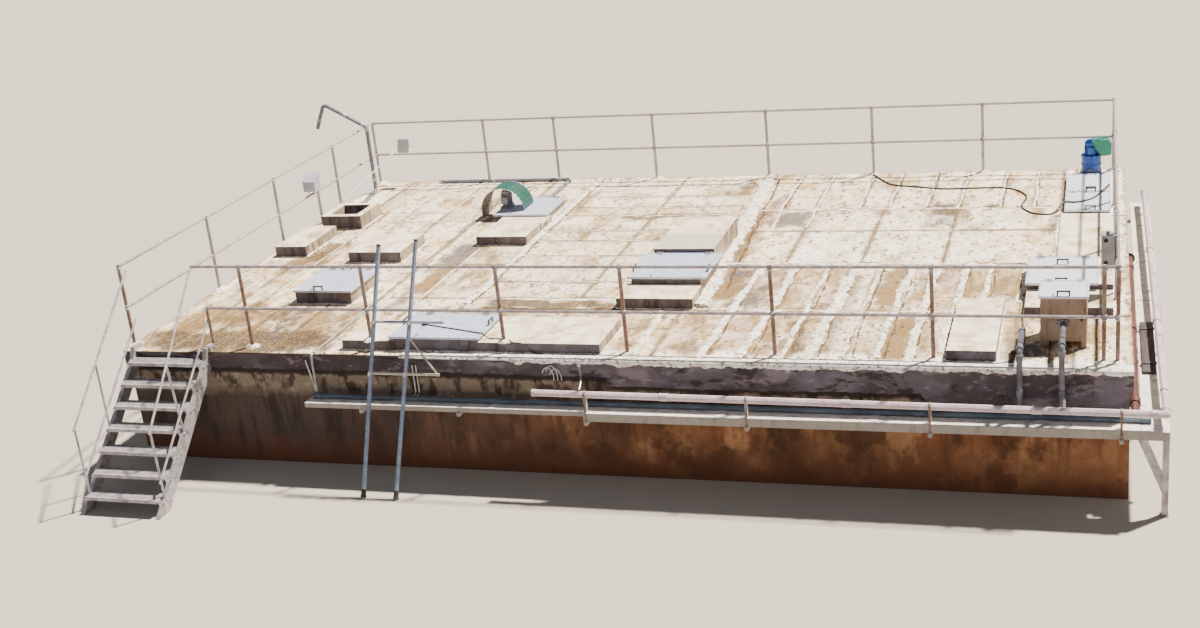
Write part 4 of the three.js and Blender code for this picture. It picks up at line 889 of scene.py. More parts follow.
def plank_rectangles():
    """Every plank of the roof as x0, x1, y0, y1."""
    found = []
    for columns, rows in PLANK_REGIONS:
        for x0, x1 in zip(columns, columns[1:]):
            for y0, y1 in zip(rows, rows[1:]):
                found.extend(without_hole(x0, x1, y0, y1, PIT_HOLE))
    return found


def grid_squares(nx, ny):
    """The squares of a grid of corners that is nx by ny squares large."""
    row = nx + 1
    starts = [j * row + i for j in range(ny) for i in range(nx)]
    return [(a, a + 1, a + row + 1, a + row) for a in starts]


def grid_rim(nx, ny):
    """The corners round such a grid, in order."""
    row = nx + 1
    near_and_right = [*range(nx), *[j * row + nx for j in range(ny)]]
    return near_and_right + [ny * row + i for i in range(nx, 0, -1)] + [j * row for j in range(ny, 0, -1)]


def lay_planks():
    """All planks as one mesh, with their tone, seam dirt and washes as attributes."""
    dice = random.Random(11)
    noise.seed_set(11)
    points, faces = [], []
    marks = {"plank_tone": [], "seam_dirt": [], **{name: [] for name in WASHES}}
    for x0, x1, y0, y1 in plank_rectangles():
        tone, lift = dice.random(), dice.uniform(0.0, 0.0012)
        gaps = [SEAM / 2 * dice.uniform(0.5, 1.3) for _ in range(4)]
        open_left, open_right = x0 > ROOF_LEFT, x1 < ROOF_RIGHT
        open_near, open_far = y0 > ROOF_FRONT, y1 < ROOF_BACK
        left, right = x0 + gaps[0] * open_left, x1 - gaps[1] * open_right
        near, far = y0 + gaps[2] * open_near, y1 - gaps[3] * open_far
        nx = max(2, round((right - left) / PLANK_CELL))
        ny = max(2, round((far - near) / PLANK_CELL))
        first = len(points)
        for j in range(ny + 1):
            for i in range(nx + 1):
                x, y = left + (right - left) * i / nx, near + (far - near) * j / ny
                marks["plank_tone"].append(tone)
                for name, patches in WASHES.items():
                    marks[name].append(wash_at(x, y, patches))
                rim = i in (0, nx) or j in (0, ny)
                marks["seam_dirt"].append(float(rim))
                chip = abs(noise.noise((x * 7, y * 7, 1.3))) * 0.024 if rim else 0.0
                height = ROOF + 0.0022 + lift + 0.0008 * noise.noise((x * 3, y * 3, 0.0)) - 0.0012 * rim
                x += chip * ((i == 0 and open_left) - (i == nx and open_right))
                y += chip * ((j == 0 and open_near) - (j == ny and open_far))
                points.append((x, y, height))
        faces += [tuple(first + k for k in square) for square in grid_squares(nx, ny)]
        edge = [first + k for k in grid_rim(nx, ny)]
        low = len(points)
        points += [(*points[corner][:2], ROOF - 0.004) for corner in edge]
        for values in marks.values():
            values += [values[corner] for corner in edge]
        for k in range(len(edge)):
            n = (k + 1) % len(edge)
            faces.append((edge[k], low + k, low + n, edge[n]))
        faces.append(tuple(reversed(range(low, low + len(edge)))))
    obj = mesh_object("roof_screed_planks", Shapes().add(points, faces))
    for name, values in marks.items():
        mark(obj.data, name, values)
    return obj


planks = dress(lay_planks(), SCREED)
print("planks", len(plank_rectangles()), "faces", len(planks.data.polygons))

# %% [markdown]
# What repeats or follows a line is made with Geometry Nodes. This helper runs a tree on a small start
# mesh, sets its named inputs by their identifiers, and keeps the result as a plain mesh.
# %% Running a node tree
def open_tree(name, inputs):
    """A new geometry tree with a Geometry input and output and the named inputs given."""
    tree = bpy.data.node_groups.new(name, "GeometryNodeTree")
    for label, kind in (("Geometry", "Geometry"), *inputs):
        tree.interface.new_socket(label, in_out="INPUT", socket_type="NodeSocket" + kind)
    tree.interface.new_socket("Geometry", in_out="OUTPUT", socket_type="NodeSocketGeometry")
    return tree, tree.nodes.new("NodeGroupInput").outputs


def close_tree(tree, geometry, material):
    """Ends a tree in Realize Instances and Set Material, so that the export keeps what it made."""
    real = add_node(tree, "GeometryNodeRealizeInstances", links={"Geometry": geometry}).outputs[0]
    coated = add_node(tree, "GeometryNodeSetMaterial", links={"Geometry": real, "Material": material})
    add_node(tree, "NodeGroupOutput", links={"Geometry": coated.outputs[0]})
    return tree


def stored(tree, name, kind="FLOAT"):
    """An attribute of the start mesh."""
    settings = {"data_type": kind}
    return add_node(tree, "GeometryNodeInputNamedAttribute", settings, {"Name": name}).outputs["Attribute"]


def moved(tree, geometry, **links):
    """A geometry with its points moved by an Offset or to a Position."""
    return add_node(tree, "GeometryNodeSetPosition", links={"Geometry": geometry, **links}).outputs[0]


def made_lumpy(tree, geometry, cloud, depth):
    """A geometry pushed about by a noise node, up to half of depth along each axis."""
    centred = add_node(tree, "ShaderNodeVectorMath", {"operation": "SUBTRACT"}, {1: (0.5, 0.5, 0.5)},
                       {0: cloud.outputs["Color"]})
    pushed = add_node(tree, "ShaderNodeVectorMath", {"operation": "SCALE"},
                      links={0: centred.outputs[0], "Scale": depth})
    return moved(tree, geometry, Offset=pushed.outputs[0])


def grown(name, start, tree, inputs, sharp=CRISP):
    """The result of a tree on a start mesh, as a plain mesh piece that rides on the tank."""
    carrier = put(name + "_start", start)
    modifier = carrier.modifiers.new("grow", "NODES")
    modifier.node_group = tree
    for item in tree.interface.items_tree:
        if item.item_type == "SOCKET" and item.in_out == "INPUT" and item.name in inputs:
            modifier[item.identifier] = inputs[item.name]
    depsgraph = bpy.context.evaluated_depsgraph_get()
    mesh = bpy.data.meshes.new_from_object(carrier.evaluated_get(depsgraph))
    carrier.modifiers.remove(modifier)
    bpy.data.objects.remove(carrier)
    mesh.name = name
    creased(mesh, sharp)
    print(name, "faces", len(mesh.polygons))
    return dress(put(name, mesh), None)


print("tree helpers are ready")

# %% [markdown]
# Ridges of mortar stand on the seams where the strips were sealed. On the real roof mortar was pushed
# along each joint with a trowel, so a ridge is a low rough mound that follows a line, wider in some
# places than in others. The tree turns lines into curves, gives them a round section whose radius
# varies, moves the skin with noise and presses it flat.
# %% Mortar ridges
def ridge_tree():
    """Lines of points with a half_width attribute become low rough mounds."""
    tree, given = open_tree("mortar_ridge_tree", [
        ("Step", "Float"), ("Floor", "Float"), ("Flatness", "Float"), ("Lump Scale", "Float"),
        ("Lump Depth", "Float"), ("Seed", "Float"), ("Material", "Material")])
    curve = add_node(tree, "GeometryNodeMeshToCurve", links={"Mesh": given["Geometry"]})
    even = add_node(tree, "GeometryNodeResampleCurve", {"mode": "LENGTH"},
                    links={"Curve": curve.outputs[0], "Length": given["Step"]})
    place = add_node(tree, "GeometryNodeInputPosition").outputs[0]
    swell = add_node(tree, "ShaderNodeTexNoise", {"noise_dimensions": "4D"}, {"Scale": 7.0, "Detail": 3.0},
                     {"Vector": place, "W": given["Seed"]})
    reach = calculated(tree, "MULTIPLY", stored(tree, "half_width"),
                       ranged(tree, swell.outputs[0], 0.3, 0.7, 0.45, 1.45))
    ring = add_node(tree, "GeometryNodeCurvePrimitiveCircle", values={"Resolution": 12, "Radius": 1.0})
    mound = add_node(tree, "GeometryNodeCurveToMesh", values={"Fill Caps": True},
                     links={"Curve": even.outputs[0], "Profile Curve": ring.outputs[0], "Scale": reach})
    cloud = add_node(tree, "ShaderNodeTexNoise", {"noise_dimensions": "4D"},
                     {"Detail": 4.0, "Roughness": 0.7},
                     {"Vector": place, "W": given["Seed"], "Scale": given["Lump Scale"]})
    rough = made_lumpy(tree, mound.outputs[0], cloud, given["Lump Depth"])
    parts = add_node(tree, "ShaderNodeSeparateXYZ", links={"Vector": place}).outputs
    above = calculated(tree, "SUBTRACT", parts["Z"], given["Floor"])
    low = calculated(tree, "MULTIPLY_ADD", above, given["Flatness"], given["Floor"])
    flat = add_node(tree, "ShaderNodeCombineXYZ", links={"X": parts["X"], "Y": parts["Y"], "Z": low})
    return close_tree(tree, moved(tree, rough, Position=flat.outputs[0]), given["Material"])


RIDGE_TREE = ridge_tree()


def line_mesh(name, lines):
    """Lines in layout metres as an edge mesh. A line is its points and the half width of its mound."""
    points, edges, widths = [], [], []
    for line, half_width in lines:
        first = len(points)
        points.extend([(x, y, ROOF) for x, y in line])
        widths.extend([half_width] * len(line))
        edges.extend([(first + i, first + i + 1) for i in range(len(line) - 1)])
    mesh = bpy.data.meshes.new(name)
    mesh.from_pydata(placed(points).tolist(), edges, [])
    mark(mesh, "half_width", widths)
    return mesh


def wandering(x0, y0, x1, y1, sway, seed):
    """A hand-laid line between two points that sways a little to its sides."""
    count = max(3, int(math.hypot(x1 - x0, y1 - y0) / 0.25))
    along_x = abs(x1 - x0) > abs(y1 - y0)
    found = []
    for k in range(count + 1):
        t = k / count
        shift = sway * noise.noise((x0 * 1.7 + seed, y0 * 1.3 + 4.1 * t * (count / 6), seed))
        x, y = x0 + (x1 - x0) * t, y0 + (y1 - y0) * t
        found.append((x, y + shift) if along_x else (x + shift, y))
    return found


BOLD_RIDGES = [
    ((-7.57, 1.5, -7.55, 7.1), 0.050), ((-4.62, 1.45, -4.86, 6.95), 0.120),
    ((-8.72, 1.6, -8.7, 5.2), 0.030), ((-4.98, -0.08, -5.0, 1.3), 0.040),
    ((-4.24, -0.1, -4.16, 2.95), 0.050), ((-3.80, -0.1, -3.72, 2.95), 0.055),
    ((-3.36, -0.1, -3.32, 2.95), 0.032), ((-3.10, -0.1, -2.97, 2.95), 0.080),
    ((-2.74, 0.0, -2.68, 2.95), 0.026), ((-2.38, 0.0, -2.32, 2.95), 0.040),
    ((-2.06, -0.1, -2.03, 2.95), 0.058), ((-1.72, -0.1, -1.68, 2.95), 0.046),
    ((-1.42, 1.6, -1.38, 2.95), 0.028), ((-1.02, 1.7, -1.0, 2.95), 0.036),
    ((-4.6, 3.02, -1.05, 2.98), 0.045), ((-0.66, 2.95, -0.655, 4.85), 0.045),
    ((-4.35, 4.45, -4.35, 5.25), 0.022), ((-3.89, 4.5, -3.89, 5.25), 0.022),
    ((-4.35, 5.25, -3.89, 5.25), 0.024), ((-4.75, 5.32, -0.7, 5.30), 0.030),
    ((-7.15, 6.96, -4.95, 6.97), 0.035),
]
FINE_RIDGES = [
    *[((-7.5, y, -4.85, y + 0.01), 0.017) for y in MIDDLE_ROWS[3:-1]], ((-7.1, 1.69, -5.2, 1.7), 0.030),
    *[((x, 5.35, x, 7.1), 0.020) for x in BACK_COLUMNS[1:-1]], ((-4.75, 6.3, -0.7, 6.3), 0.018),
    *[((x, 1.5, x, 4.6), 0.014) for x in LEFT_COLUMNS[2:-1]], ((-10.4, 4.93, -8.85, 4.93), 0.022),
    ((-10.4, 5.4, -8.85, 5.4), 0.020), ((-4.6, 1.37, -1.6, 1.37), 0.024), ((-8.25, 1.5, -8.25, 3.7), 0.018),
    *[((x, 5.45, x, 7.1), 0.016) for x in LEFT_COLUMNS[2:-1]], ((-0.48, 2.9, -0.48, 4.9), 0.010),
    ((-0.19, 2.9, -0.19, 4.9), 0.010),
]
DIRT_LINES = [
    *[((-7.5, y + 0.03, -4.95, y + 0.04), 0.020) for y in MIDDLE_ROWS[3:-1]],
    ((-7.3, 1.36, -5.5, 1.37), 0.030),
    *[((x + 0.06, 0.0, x + 0.07, 2.9), 0.016) for x in FRONT_COLUMNS[1:-1]],
    *[((x + 0.03, 5.4, x + 0.03, 7.1), 0.014) for x in BACK_COLUMNS[1:-1]],
    *[((x, 0.0, x, 4.5), 0.014) for x in LEFT_COLUMNS[2:-1]], ((-7.50, 1.5, -7.48, 7.1), 0.020),
    ((-4.42, 2.0, -4.70, 6.9), 0.022), ((-4.6, 3.07, -1.0, 3.04), 0.018),
    ((-4.7, 5.36, -0.75, 5.36), 0.018), ((-4.6, 1.31, -1.7, 1.32), 0.012),
    ((-0.60, 2.95, -0.60, 4.85), 0.016),
]
BLOCK_FEET = [
    (-9.88, -9.10, 1.46, 2.29), (-9.93, -9.15, 3.08, 3.90), (-11.20, -10.72, 3.34, 4.30),
    (-8.33, -7.60, 3.80, 4.89), (-8.45, -7.67, 4.89, 5.70), (-5.59, -4.66, 1.39, 1.91),
    (-5.54, -4.68, 1.91, 2.82), (-5.50, -4.72, 2.82, 4.15), (-8.48, -7.83, -0.04, 0.62),
    (-7.83, -6.81, -0.03, 0.705), (-6.81, -5.35, -0.04, 0.78), (-0.94, -0.03, 1.29, 2.84),
    (-1.65, -1.16, -0.04, 1.51), (-11.12, -10.48, 4.62, 5.30),
]
FOOT_LINES = []
for x0, x1, y0, y1 in BLOCK_FEET:
    sides = ((x0, y0, x1, y0), (x0, y1, x1, y1), (x0, y0, x0, y1), (x1, y0, x1, y1))
    FOOT_LINES += [(side, 0.024) for side in sides]
for name, ridges, sway, flatness, depth, mortar in (
        ("bold_mortar_ridges", BOLD_RIDGES, 0.05, 0.32, 0.060, MORTAR),
        ("fine_mortar_ridges", FINE_RIDGES, 0.05, 0.30, 0.026, MORTAR),
        ("dark_seam_lines", DIRT_LINES, 0.05, 0.24, 0.030, SEAM_DIRT),
        ("block_foot_mortar", FOOT_LINES, 0.012, 0.55, 0.026, MORTAR)):
    lines = [(wandering(*ends, sway, k * 1.3), half) for k, (ends, half) in enumerate(ridges)]
    grown(name, line_mesh(name, lines), RIDGE_TREE,
          {"Step": 0.035, "Floor": ROOF, "Flatness": flatness, "Lump Scale": 22.0, "Lump Depth": depth,
           "Seed": 4.0, "Material": mortar}, math.radians(70))

# %% [markdown]
# Along the front edge the screed was finished with a lip of mortar that hangs over the slab and has
# run down it in ragged tongues. Under the slab the slab's own dark crust, with its painted shade,
# reaches down over the top of the wall. Both are long skins whose lower edge wanders. They are made
# straight from their cross-section, because it is the depth of the tongues that has to be controlled.
# %% Mortar lip and dark band
def ragged_skin(name, x0, x1, section, depth):
    """A long closed skin along X. section(depth, x) gives its cross-section as y, z points in order."""
    count = int((x1 - x0) / 0.03)
    points = []
    for k in range(count + 1):
        x = x0 + (x1 - x0) * k / count
        points.extend([(x, y, z) for y, z in section(depth(x), x)])
    faces = closed_skin(count + 1, len(points) // (count + 1))
    return mesh_object(name, Shapes().add(points, faces), SOFT)


def tongue_depth(x):
    """How far the lip has run down the slab, in metres."""
    broad = 0.5 + 0.5 * noise.noise((x * 1.9, 0.3, 0.0))
    sharp = 1.6 * noise.noise((x * 5.5, 1.7, 0.0)) ** 2 + 0.35 * noise.noise((x * 21.0, 4.4, 0.0))
    fade = min(1.0, max(0.3, (x + 7.4) / 1.6))
    return max(0.016, (0.024 + 0.038 * broad + 0.060 * sharp) * fade)


def lip_section(depth, x):
    lump = 0.004 * noise.noise((x * 17, 2.0, 0.0))
    foot = ROOF - depth
    return [(-0.06, 1.396), (-0.06, 1.4035), (-0.13, 1.410 + lump), (-0.195, 1.414 + lump),
            (-0.224, 1.404 + lump), (-0.231 - lump, 1.386), (-0.227 - lump, ROOF - depth * 0.55),
            (-0.219, foot + 0.004), (-0.205, foot), (-0.200, 1.386)]


def band_depth(x):
    """How far the dark crust and its painted shade reach down the wall below the slab, in metres."""
    further = 0.15 * min(1.0, max(0.0, (x + 1.90) / 0.08))
    wavy = 0.04 * noise.noise((x * 1.3, 5.0, 0.0)) + 0.03 * abs(noise.noise((x * 7.5, 8.0, 0.0)))
    return 0.085 + further + wavy


def band_section(depth, x):
    lump = 0.006 * noise.noise((x * 11, 6.0, 0.0))
    foot = 1.18 - depth
    return [(-0.170, 1.184), (-0.208, 1.184), (-0.205 + lump, 1.15), (-0.202 + lump, foot + 0.02),
            (-0.196, foot), (-0.170, foot + 0.004)]


lip_skin = ragged_skin("front_mortar_lip", -7.7, 0.15, lip_section, tongue_depth)
band_skin = ragged_skin("dark_mortar_band", -5.25, 0.115, band_section, band_depth)
dress(lip_skin, LIP_MORTAR)
dress(band_skin, SLAB_EDGE)
print("lip faces", len(lip_skin.data.polygons), "band faces", len(band_skin.data.polygons))

# %% [markdown]
# Bolts, welds, collars and ribs repeat many times. One tree places copies of a small part on a set
# of points: each point says which way the part faces, how far it is turned and how large it is. The
# copies can be made lumpy with noise, as mortar and weld metal are, and kept inside a box, so that a
# collar at the roof's edge doesn't hang in the air.
# %% Scatter tree
def scatter_tree():
    """Copies of a part on points with facing, turn and size attributes."""
    tree, given = open_tree("scatter_tree", [
        ("Part", "Object"), ("Spin", "Float"), ("Lump Scale", "Float"), ("Lump Depth", "Float"),
        ("Low Corner", "Vector"), ("High Corner", "Vector"), ("Seed", "Int"), ("Material", "Material")])
    chance = add_node(tree, "FunctionNodeRandomValue", {"data_type": "FLOAT"},
                      links={3: given["Spin"], "Seed": given["Seed"]})
    angle = calculated(tree, "ADD", stored(tree, "turn"), chance.outputs[1])
    euler = add_node(tree, "ShaderNodeCombineXYZ", links={"Z": angle})
    about = add_node(tree, "FunctionNodeEulerToRotation", links={"Euler": euler.outputs[0]})
    aligned = add_node(tree, "FunctionNodeAlignRotationToVector", {"axis": "Z"},
                       links={"Vector": stored(tree, "facing", "FLOAT_VECTOR")})
    rotation = add_node(tree, "FunctionNodeRotateRotation", {"rotation_space": "LOCAL"},
                        links={"Rotation": aligned.outputs[0], "Rotate By": about.outputs[0]})
    part = add_node(tree, "GeometryNodeObjectInfo", links={"Object": given["Part"]})
    copies = add_node(tree, "GeometryNodeInstanceOnPoints", links={
        "Points": given["Geometry"], "Instance": part.outputs["Geometry"],
        "Rotation": rotation.outputs[0], "Scale": stored(tree, "size", "FLOAT_VECTOR")})
    real = add_node(tree, "GeometryNodeRealizeInstances", links={"Geometry": copies.outputs[0]})
    place = add_node(tree, "GeometryNodeInputPosition").outputs[0]
    cloud = add_node(tree, "ShaderNodeTexNoise", values={"Detail": 3.0},
                     links={"Vector": place, "Scale": given["Lump Scale"]})
    rough = made_lumpy(tree, real.outputs[0], cloud, given["Lump Depth"])
    held = place
    for operation, corner in (("MAXIMUM", "Low Corner"), ("MINIMUM", "High Corner")):
        held = add_node(tree, "ShaderNodeVectorMath", {"operation": operation},
                        links={0: held, 1: given[corner]}).outputs[0]
    return close_tree(tree, moved(tree, rough, Position=held), given["Material"])


SCATTER_TREE = scatter_tree()
EVERYWHERE = ((-30.0, -30.0, -30.0), (30.0, 30.0, 30.0))
UP = (0.0, 0.0, 1.0)
DOWN = (0.0, 0.0, -1.0)
TO_FRONT = (0.0, -1.0, 0.0)


def standing(spots, way=UP, size=1.0):
    """Places for copies that face one way: a point, the way, a turn and a size for each."""
    return [(spot, way, 0.0, size) for spot in spots]


def all_round(middle, z, count):
    """Places for copies on one axis, each turned on from the last."""
    return [((*middle, z), UP, k * math.tau / count, 1.0) for k in range(count)]


def scattered(name, part, places, material,
              lumps=(30.0, 0.0), spin=0.0, within=EVERYWHERE, sharp=CRISP):
    """Copies of one small part at places. A place is a point, a facing direction, a turn and a size."""
    part_mesh = bpy.data.meshes.new(name + "_part")
    part_mesh.from_pydata([tuple(point) for point in part.points], [], part.faces)
    part_object = put(name + "_part", part_mesh)
    spots, ways, turns, sizes = zip(*places)
    start = bpy.data.meshes.new(name + "_places")
    start.from_pydata(placed(spots).tolist(), [], [])
    mark(start, "facing", ways, "FLOAT_VECTOR")
    mark(start, "turn", turns)
    mark(start, "size", [size if isinstance(size, tuple) else (size,) * 3 for size in sizes], "FLOAT_VECTOR")
    inputs = {"Part": part_object, "Spin": spin, "Lump Scale": lumps[0], "Lump Depth": lumps[1],
              "Low Corner": within[0], "High Corner": within[1], "Seed": 5, "Material": material}
    obj = grown(name, start, SCATTER_TREE, inputs, sharp)
    bpy.data.objects.remove(part_object)
    return obj


BOLT = Shapes().turned((0, 0, 0), UP, [(0.0, 0.013), (0.0025, 0.013)], 14)
BOLT.turned((0, 0, 0.002), UP, [(0.0, 0.0104), (0.007, 0.0104), (0.0085, 0.0088)], 6)
BOLT.turned((0, 0, 0.008), UP, [(0.0, 0.006), (0.006, 0.006), (0.007, 0.005)], 10)


def bolted(name, places, spin=1.0):
    """Zinc bolts at places, each turned a little by chance."""
    return scattered(name, BOLT, places, BOLT_ZINC, spin=spin)


print("an M12 bolt has", len(BOLT.faces), "faces")

# %% [markdown]
# The railing posts were set in holes and packed round with mortar, so each one stands in a low rough
# collar. Where rails meet posts there is a bead of weld. Both are one small ring, copied to every
# post, and the mortar is made lumpy.
# %% Post collars and rail welds
FRONT_POSTS = (-9.69, -8.12, -6.48, -5.05, -3.42, -1.78, -0.13, 0.0)
BACK_POSTS = (-11.325, -9.41, -8.23, -6.64, -4.89, -3.33, -1.77, 0.0)
POSTS = [(x, 0.0) for x in FRONT_POSTS] + [(x, 7.095) for x in BACK_POSTS]
POSTS += [(-11.325, y) for y in (0.0, 2.0, 3.81, 5.66)] + [(0.0, y) for y in (1.77, 3.55, 5.32)]
POSTS_ON_BLOCKS = (-8.12, -6.48)
collar = Shapes().turned((0, 0, -0.002), UP, [
    (0.0, 0.088), (0.010, 0.080), (0.021, 0.058), (0.030, 0.038), (0.032, 0.023)], 22)
dice = random.Random(3)
collar_places = []
for x, y in POSTS:
    floor_height = ROOF + 0.12 if x in POSTS_ON_BLOCKS and y == 0.0 else ROOF
    turn, width = dice.uniform(0, 6), dice.uniform(0.8, 1.35)
    collar_places.append(((x, y, floor_height), UP, turn, (width, width, 1.0)))
ROOF_SPAN = [tuple(corner) for corner in placed([(-11.346, -0.206, 1.39), (0.146, 7.156, 1.6)])]
scattered("post_mortar_collars", collar, collar_places, MORTAR, (26.0, 0.030),
          within=ROOF_SPAN, sharp=LUMPY)
weld = Shapes().turned((0, 0, -0.008), UP, [
    (0.0, 0.0222), (0.004, 0.0275), (0.012, 0.0275), (0.016, 0.0222)], 14)
weld_places = standing([(x, y, z) for x, y in POSTS for z in (2.379, 1.862, 1.902)])
scattered("rail_weld_beads", weld, weld_places, BOLT_ZINC, (160.0, 0.004), sharp=LUMPY)

# %% [markdown]
# The stair was welded up in a workshop and bolted to the roof. Every tread has a folded lip at its
# front, bars on top against slipping, and a cleat at each end that is bolted through the stringer.
# %% Stair treads and bolts
TREADS = [(1.33 - 0.19 * step, -0.215 - 0.21 * step) for step in range(7)]
TREAD_DEPTH = 0.20
STRINGERS = ((-10.175, (1.0, 0, 0)), (-11.225, (-1.0, 0, 0)))
lips = Shapes()
cleats = Shapes()
bar_places = []
bolt_places = []
for top, back in TREADS:
    front = back - TREAD_DEPTH
    lips.prism("X", -11.172, -10.228, [
        (front + 0.030, top), (front + 0.030, top + 0.003), (front - 0.003, top + 0.003),
        (front - 0.003, top - 0.036), (front, top - 0.036), (front, top)])
    for low_x, high_x in ((-11.174, -11.134), (-10.266, -10.226)):
        cleats.box(low_x, high_x, front + 0.03, back - 0.03, top - 0.036, top - 0.0305, 0.001)
        wall_x = low_x if low_x < -11 else high_x - 0.005
        cleats.box(wall_x, wall_x + 0.005, front + 0.03, back - 0.03, top - 0.075, top - 0.031, 0.001)
    bar_places += standing([(-10.70, front + gap, top) for gap in (0.055, 0.085, 0.115, 0.145, 0.175)])
    for x, way in STRINGERS:
        bolt_places += standing([(x, back - gap, top - 0.055) for gap in (0.06, 0.14)], way)
for x, way in STRINGERS:
    bolt_places += standing([(x, y, ROOF + 0.03) for y in (-0.08, -0.16)], way, 1.2)
slip_bar = Shapes().box(-0.46, 0.46, -0.004, 0.004, -0.001, 0.004, 0.001)
fitting("stair_tread_lips", lips, STAIR_ZINC)
fitting("stair_tread_cleats", cleats, STAIR_ZINC)
scattered("anti_slip_bars", slip_bar, bar_places, STAIR_ZINC)
bolted("stair_bolts", bolt_places)

# %% [markdown]
# The tall ladder is two scaffold tubes with long rungs. It leans on the front top rail. Its tubes end
# in rubber feet below and in plastic caps above, and each rung is held by a pair of clamp halves.
# %% Ladder feet, caps and clamps
LADDER_REST = (2.4, -0.0433)
LEFT_TUBE, RIGHT_TUBE = (-8.0, -7.88), (-7.6, -7.43)
LOW_RUNG, HIGH_RUNG = 1.305, 1.84


def on_ladder(tube_ends, height):
    """The middle of a ladder tube at a height above the ground."""
    foot_x, rest_x = tube_ends
    share = height / LADDER_REST[0]
    return np.array((foot_x + (rest_x - foot_x) * share, -1.0 + (LADDER_REST[1] + 1.0) * share, height))


rubber = Shapes()
clamps = Shapes()
for tube_ends, end in ((LEFT_TUBE, 2.65), (RIGHT_TUBE, 2.70)):
    low = on_ladder(tube_ends, 0.012)
    along = on_ladder(tube_ends, 1.012) - low
    along /= np.linalg.norm(along)
    rubber.turned(low, along, [
        (0.0, 0.030), (0.008, 0.034), (0.020, 0.034), (0.026, 0.029), (0.085, 0.028), (0.090, 0.0245)], 20)
    rubber.turned(on_ladder(tube_ends, end - 0.022), along, [
        (0.0, 0.0245), (0.002, 0.027), (0.018, 0.027), (0.023, 0.022)], 20)
    for height in (HIGH_RUNG, LOW_RUNG):
        x, y, z = middle = on_ladder(tube_ends, height)
        clamps.turned(middle - along * 0.024, along, [
            (0.0, 0.0245), (0.002, 0.030), (0.010, 0.031), (0.014, 0.029), (0.034, 0.029), (0.038, 0.031),
            (0.046, 0.030), (0.048, 0.0245)], 20)
        clamps.box(x - 0.014, x + 0.014, y - 0.056, y - 0.026, z - 0.016, z + 0.016, 0.003)
fitting("ladder_feet_and_caps", rubber, BLACK_RUBBER)
fitting("ladder_clamps", clamps, BOLT_ZINC)
stay_left = on_ladder(LEFT_TUBE, LOW_RUNG) - (0.031, 0, 0)
stay_right = on_ladder(RIGHT_TUBE, LOW_RUNG) + (0.411, 0, 0)
stays = Shapes().tube([stay_left, stay_right], 0.0175, 16)
stays.tube([on_ladder(RIGHT_TUBE, 1.69), on_ladder(RIGHT_TUBE, LOW_RUNG) + (0.390, 0, 0)], 0.0102, 12)
fitting("ladder_stay_sleeves", stays, STAY_STEEL)

# %% [markdown]
# A hatch lid is a zinc-coated steel plate. Its edge is stiffened by a flat strip welded round the top,
# it swings on two hinges at the back and is locked by a hasp at the front. The handles are in the CAD
# model, and flat bars dress them. The hinges and the hasps repeat, so they are scattered.
# %% Lid rims, hinges and hasps
LIDS = {
    "left": (-9.90, -9.08, 1.44, 2.31, 1.58), "mixer": (-8.48, -7.65, 4.85, 5.73, 1.52),
    "middle": (-5.59, -4.61, 1.88, 2.81, 1.62), "front": (-7.88, -6.77, -0.048, 0.735, 1.57),
    "back_1": (-0.61, -0.04, 4.92, 5.78, 1.475), "back_2": (-0.61, -0.04, 5.79, 6.64, 1.475),
    "right": (-0.96, -0.185, 1.825, 2.75, 1.58), "cabinet": (-0.765, -0.275, 0.34, 0.85, 1.965),
}
RIM = 0.018
rims = Shapes()
hinge_places = []
hasp_places = []
for x0, x1, y0, y1, top in LIDS.values():
    left, right = x0 + 0.002, x1 - 0.002
    over = top + 0.004
    for strip in ((left, right, y0 + 0.002, y0 + RIM), (left, right, y1 - RIM, y1 - 0.002),
                  (left, left + RIM, y0 + RIM, y1 - RIM), (right - RIM, right, y0 + RIM, y1 - RIM)):
        rims.box(*strip, top, over, 0.001)
    size = 0.7 if x1 - x0 < 0.6 else 1.0
    hinge_places += standing([(x0 + (x1 - x0) * share, y1 - 0.004, over) for share in (0.18, 0.82)], UP, size)
    hasp_places += standing([(x0 + (x1 - x0) * 0.3, y0 + 0.02, over)], UP, size)
hinge = Shapes().box(-0.045, 0.045, -0.060, -0.010, -0.001, 0.003, 0.001)
for start in (-0.045, -0.014, 0.017):
    hinge.turned((start, -0.006, 0.006), (1, 0, 0), [
        (0.0, 0.007), (0.001, 0.008), (0.027, 0.008), (0.028, 0.007)], 12)
for x in (-0.03, 0.03):
    hinge.turned((x, -0.038, 0.002), UP, [(0.0, 0.006), (0.002, 0.006), (0.004, 0.003)], 10)
hasp = Shapes().box(-0.016, 0.016, -0.012, 0.075, -0.001, 0.003, 0.001)
hasp.tube(smooth_line([(0, 0.020, 0.0), (0, 0.020, 0.018), (0, 0.032, 0.026), (0, 0.044, 0.018),
                       (0, 0.044, 0.0)], 0.006), 0.003, 8)
fitting("lid_rims", rims, LID_ZINC)
scattered("lid_hinges", hinge, hinge_places, BOLT_ZINC)
scattered("lid_hasps", hasp, hasp_places, BOLT_ZINC)
HANDLES = (
    (-9.545, 1.465, 1.58, "X"), (-9.545, 2.285, 1.58, "X"), (-5.565, 2.16, 1.62, "Y"),
    (-4.635, 2.16, 1.62, "Y"), (-7.855, 0.42, 1.57, "Y"), (-6.795, 0.42, 1.57, "Y"),
    (-0.29, 4.945, 1.475, "X"), (-0.29, 5.755, 1.475, "X"), (-0.29, 5.815, 1.475, "X"),
    (-0.29, 6.615, 1.475, "X"), (-0.575, 1.85, 1.58, "X"), (-0.575, 2.50, 1.58, "X"),
    (-0.52, 0.365, 1.965, "X"),
)
grips = Shapes()
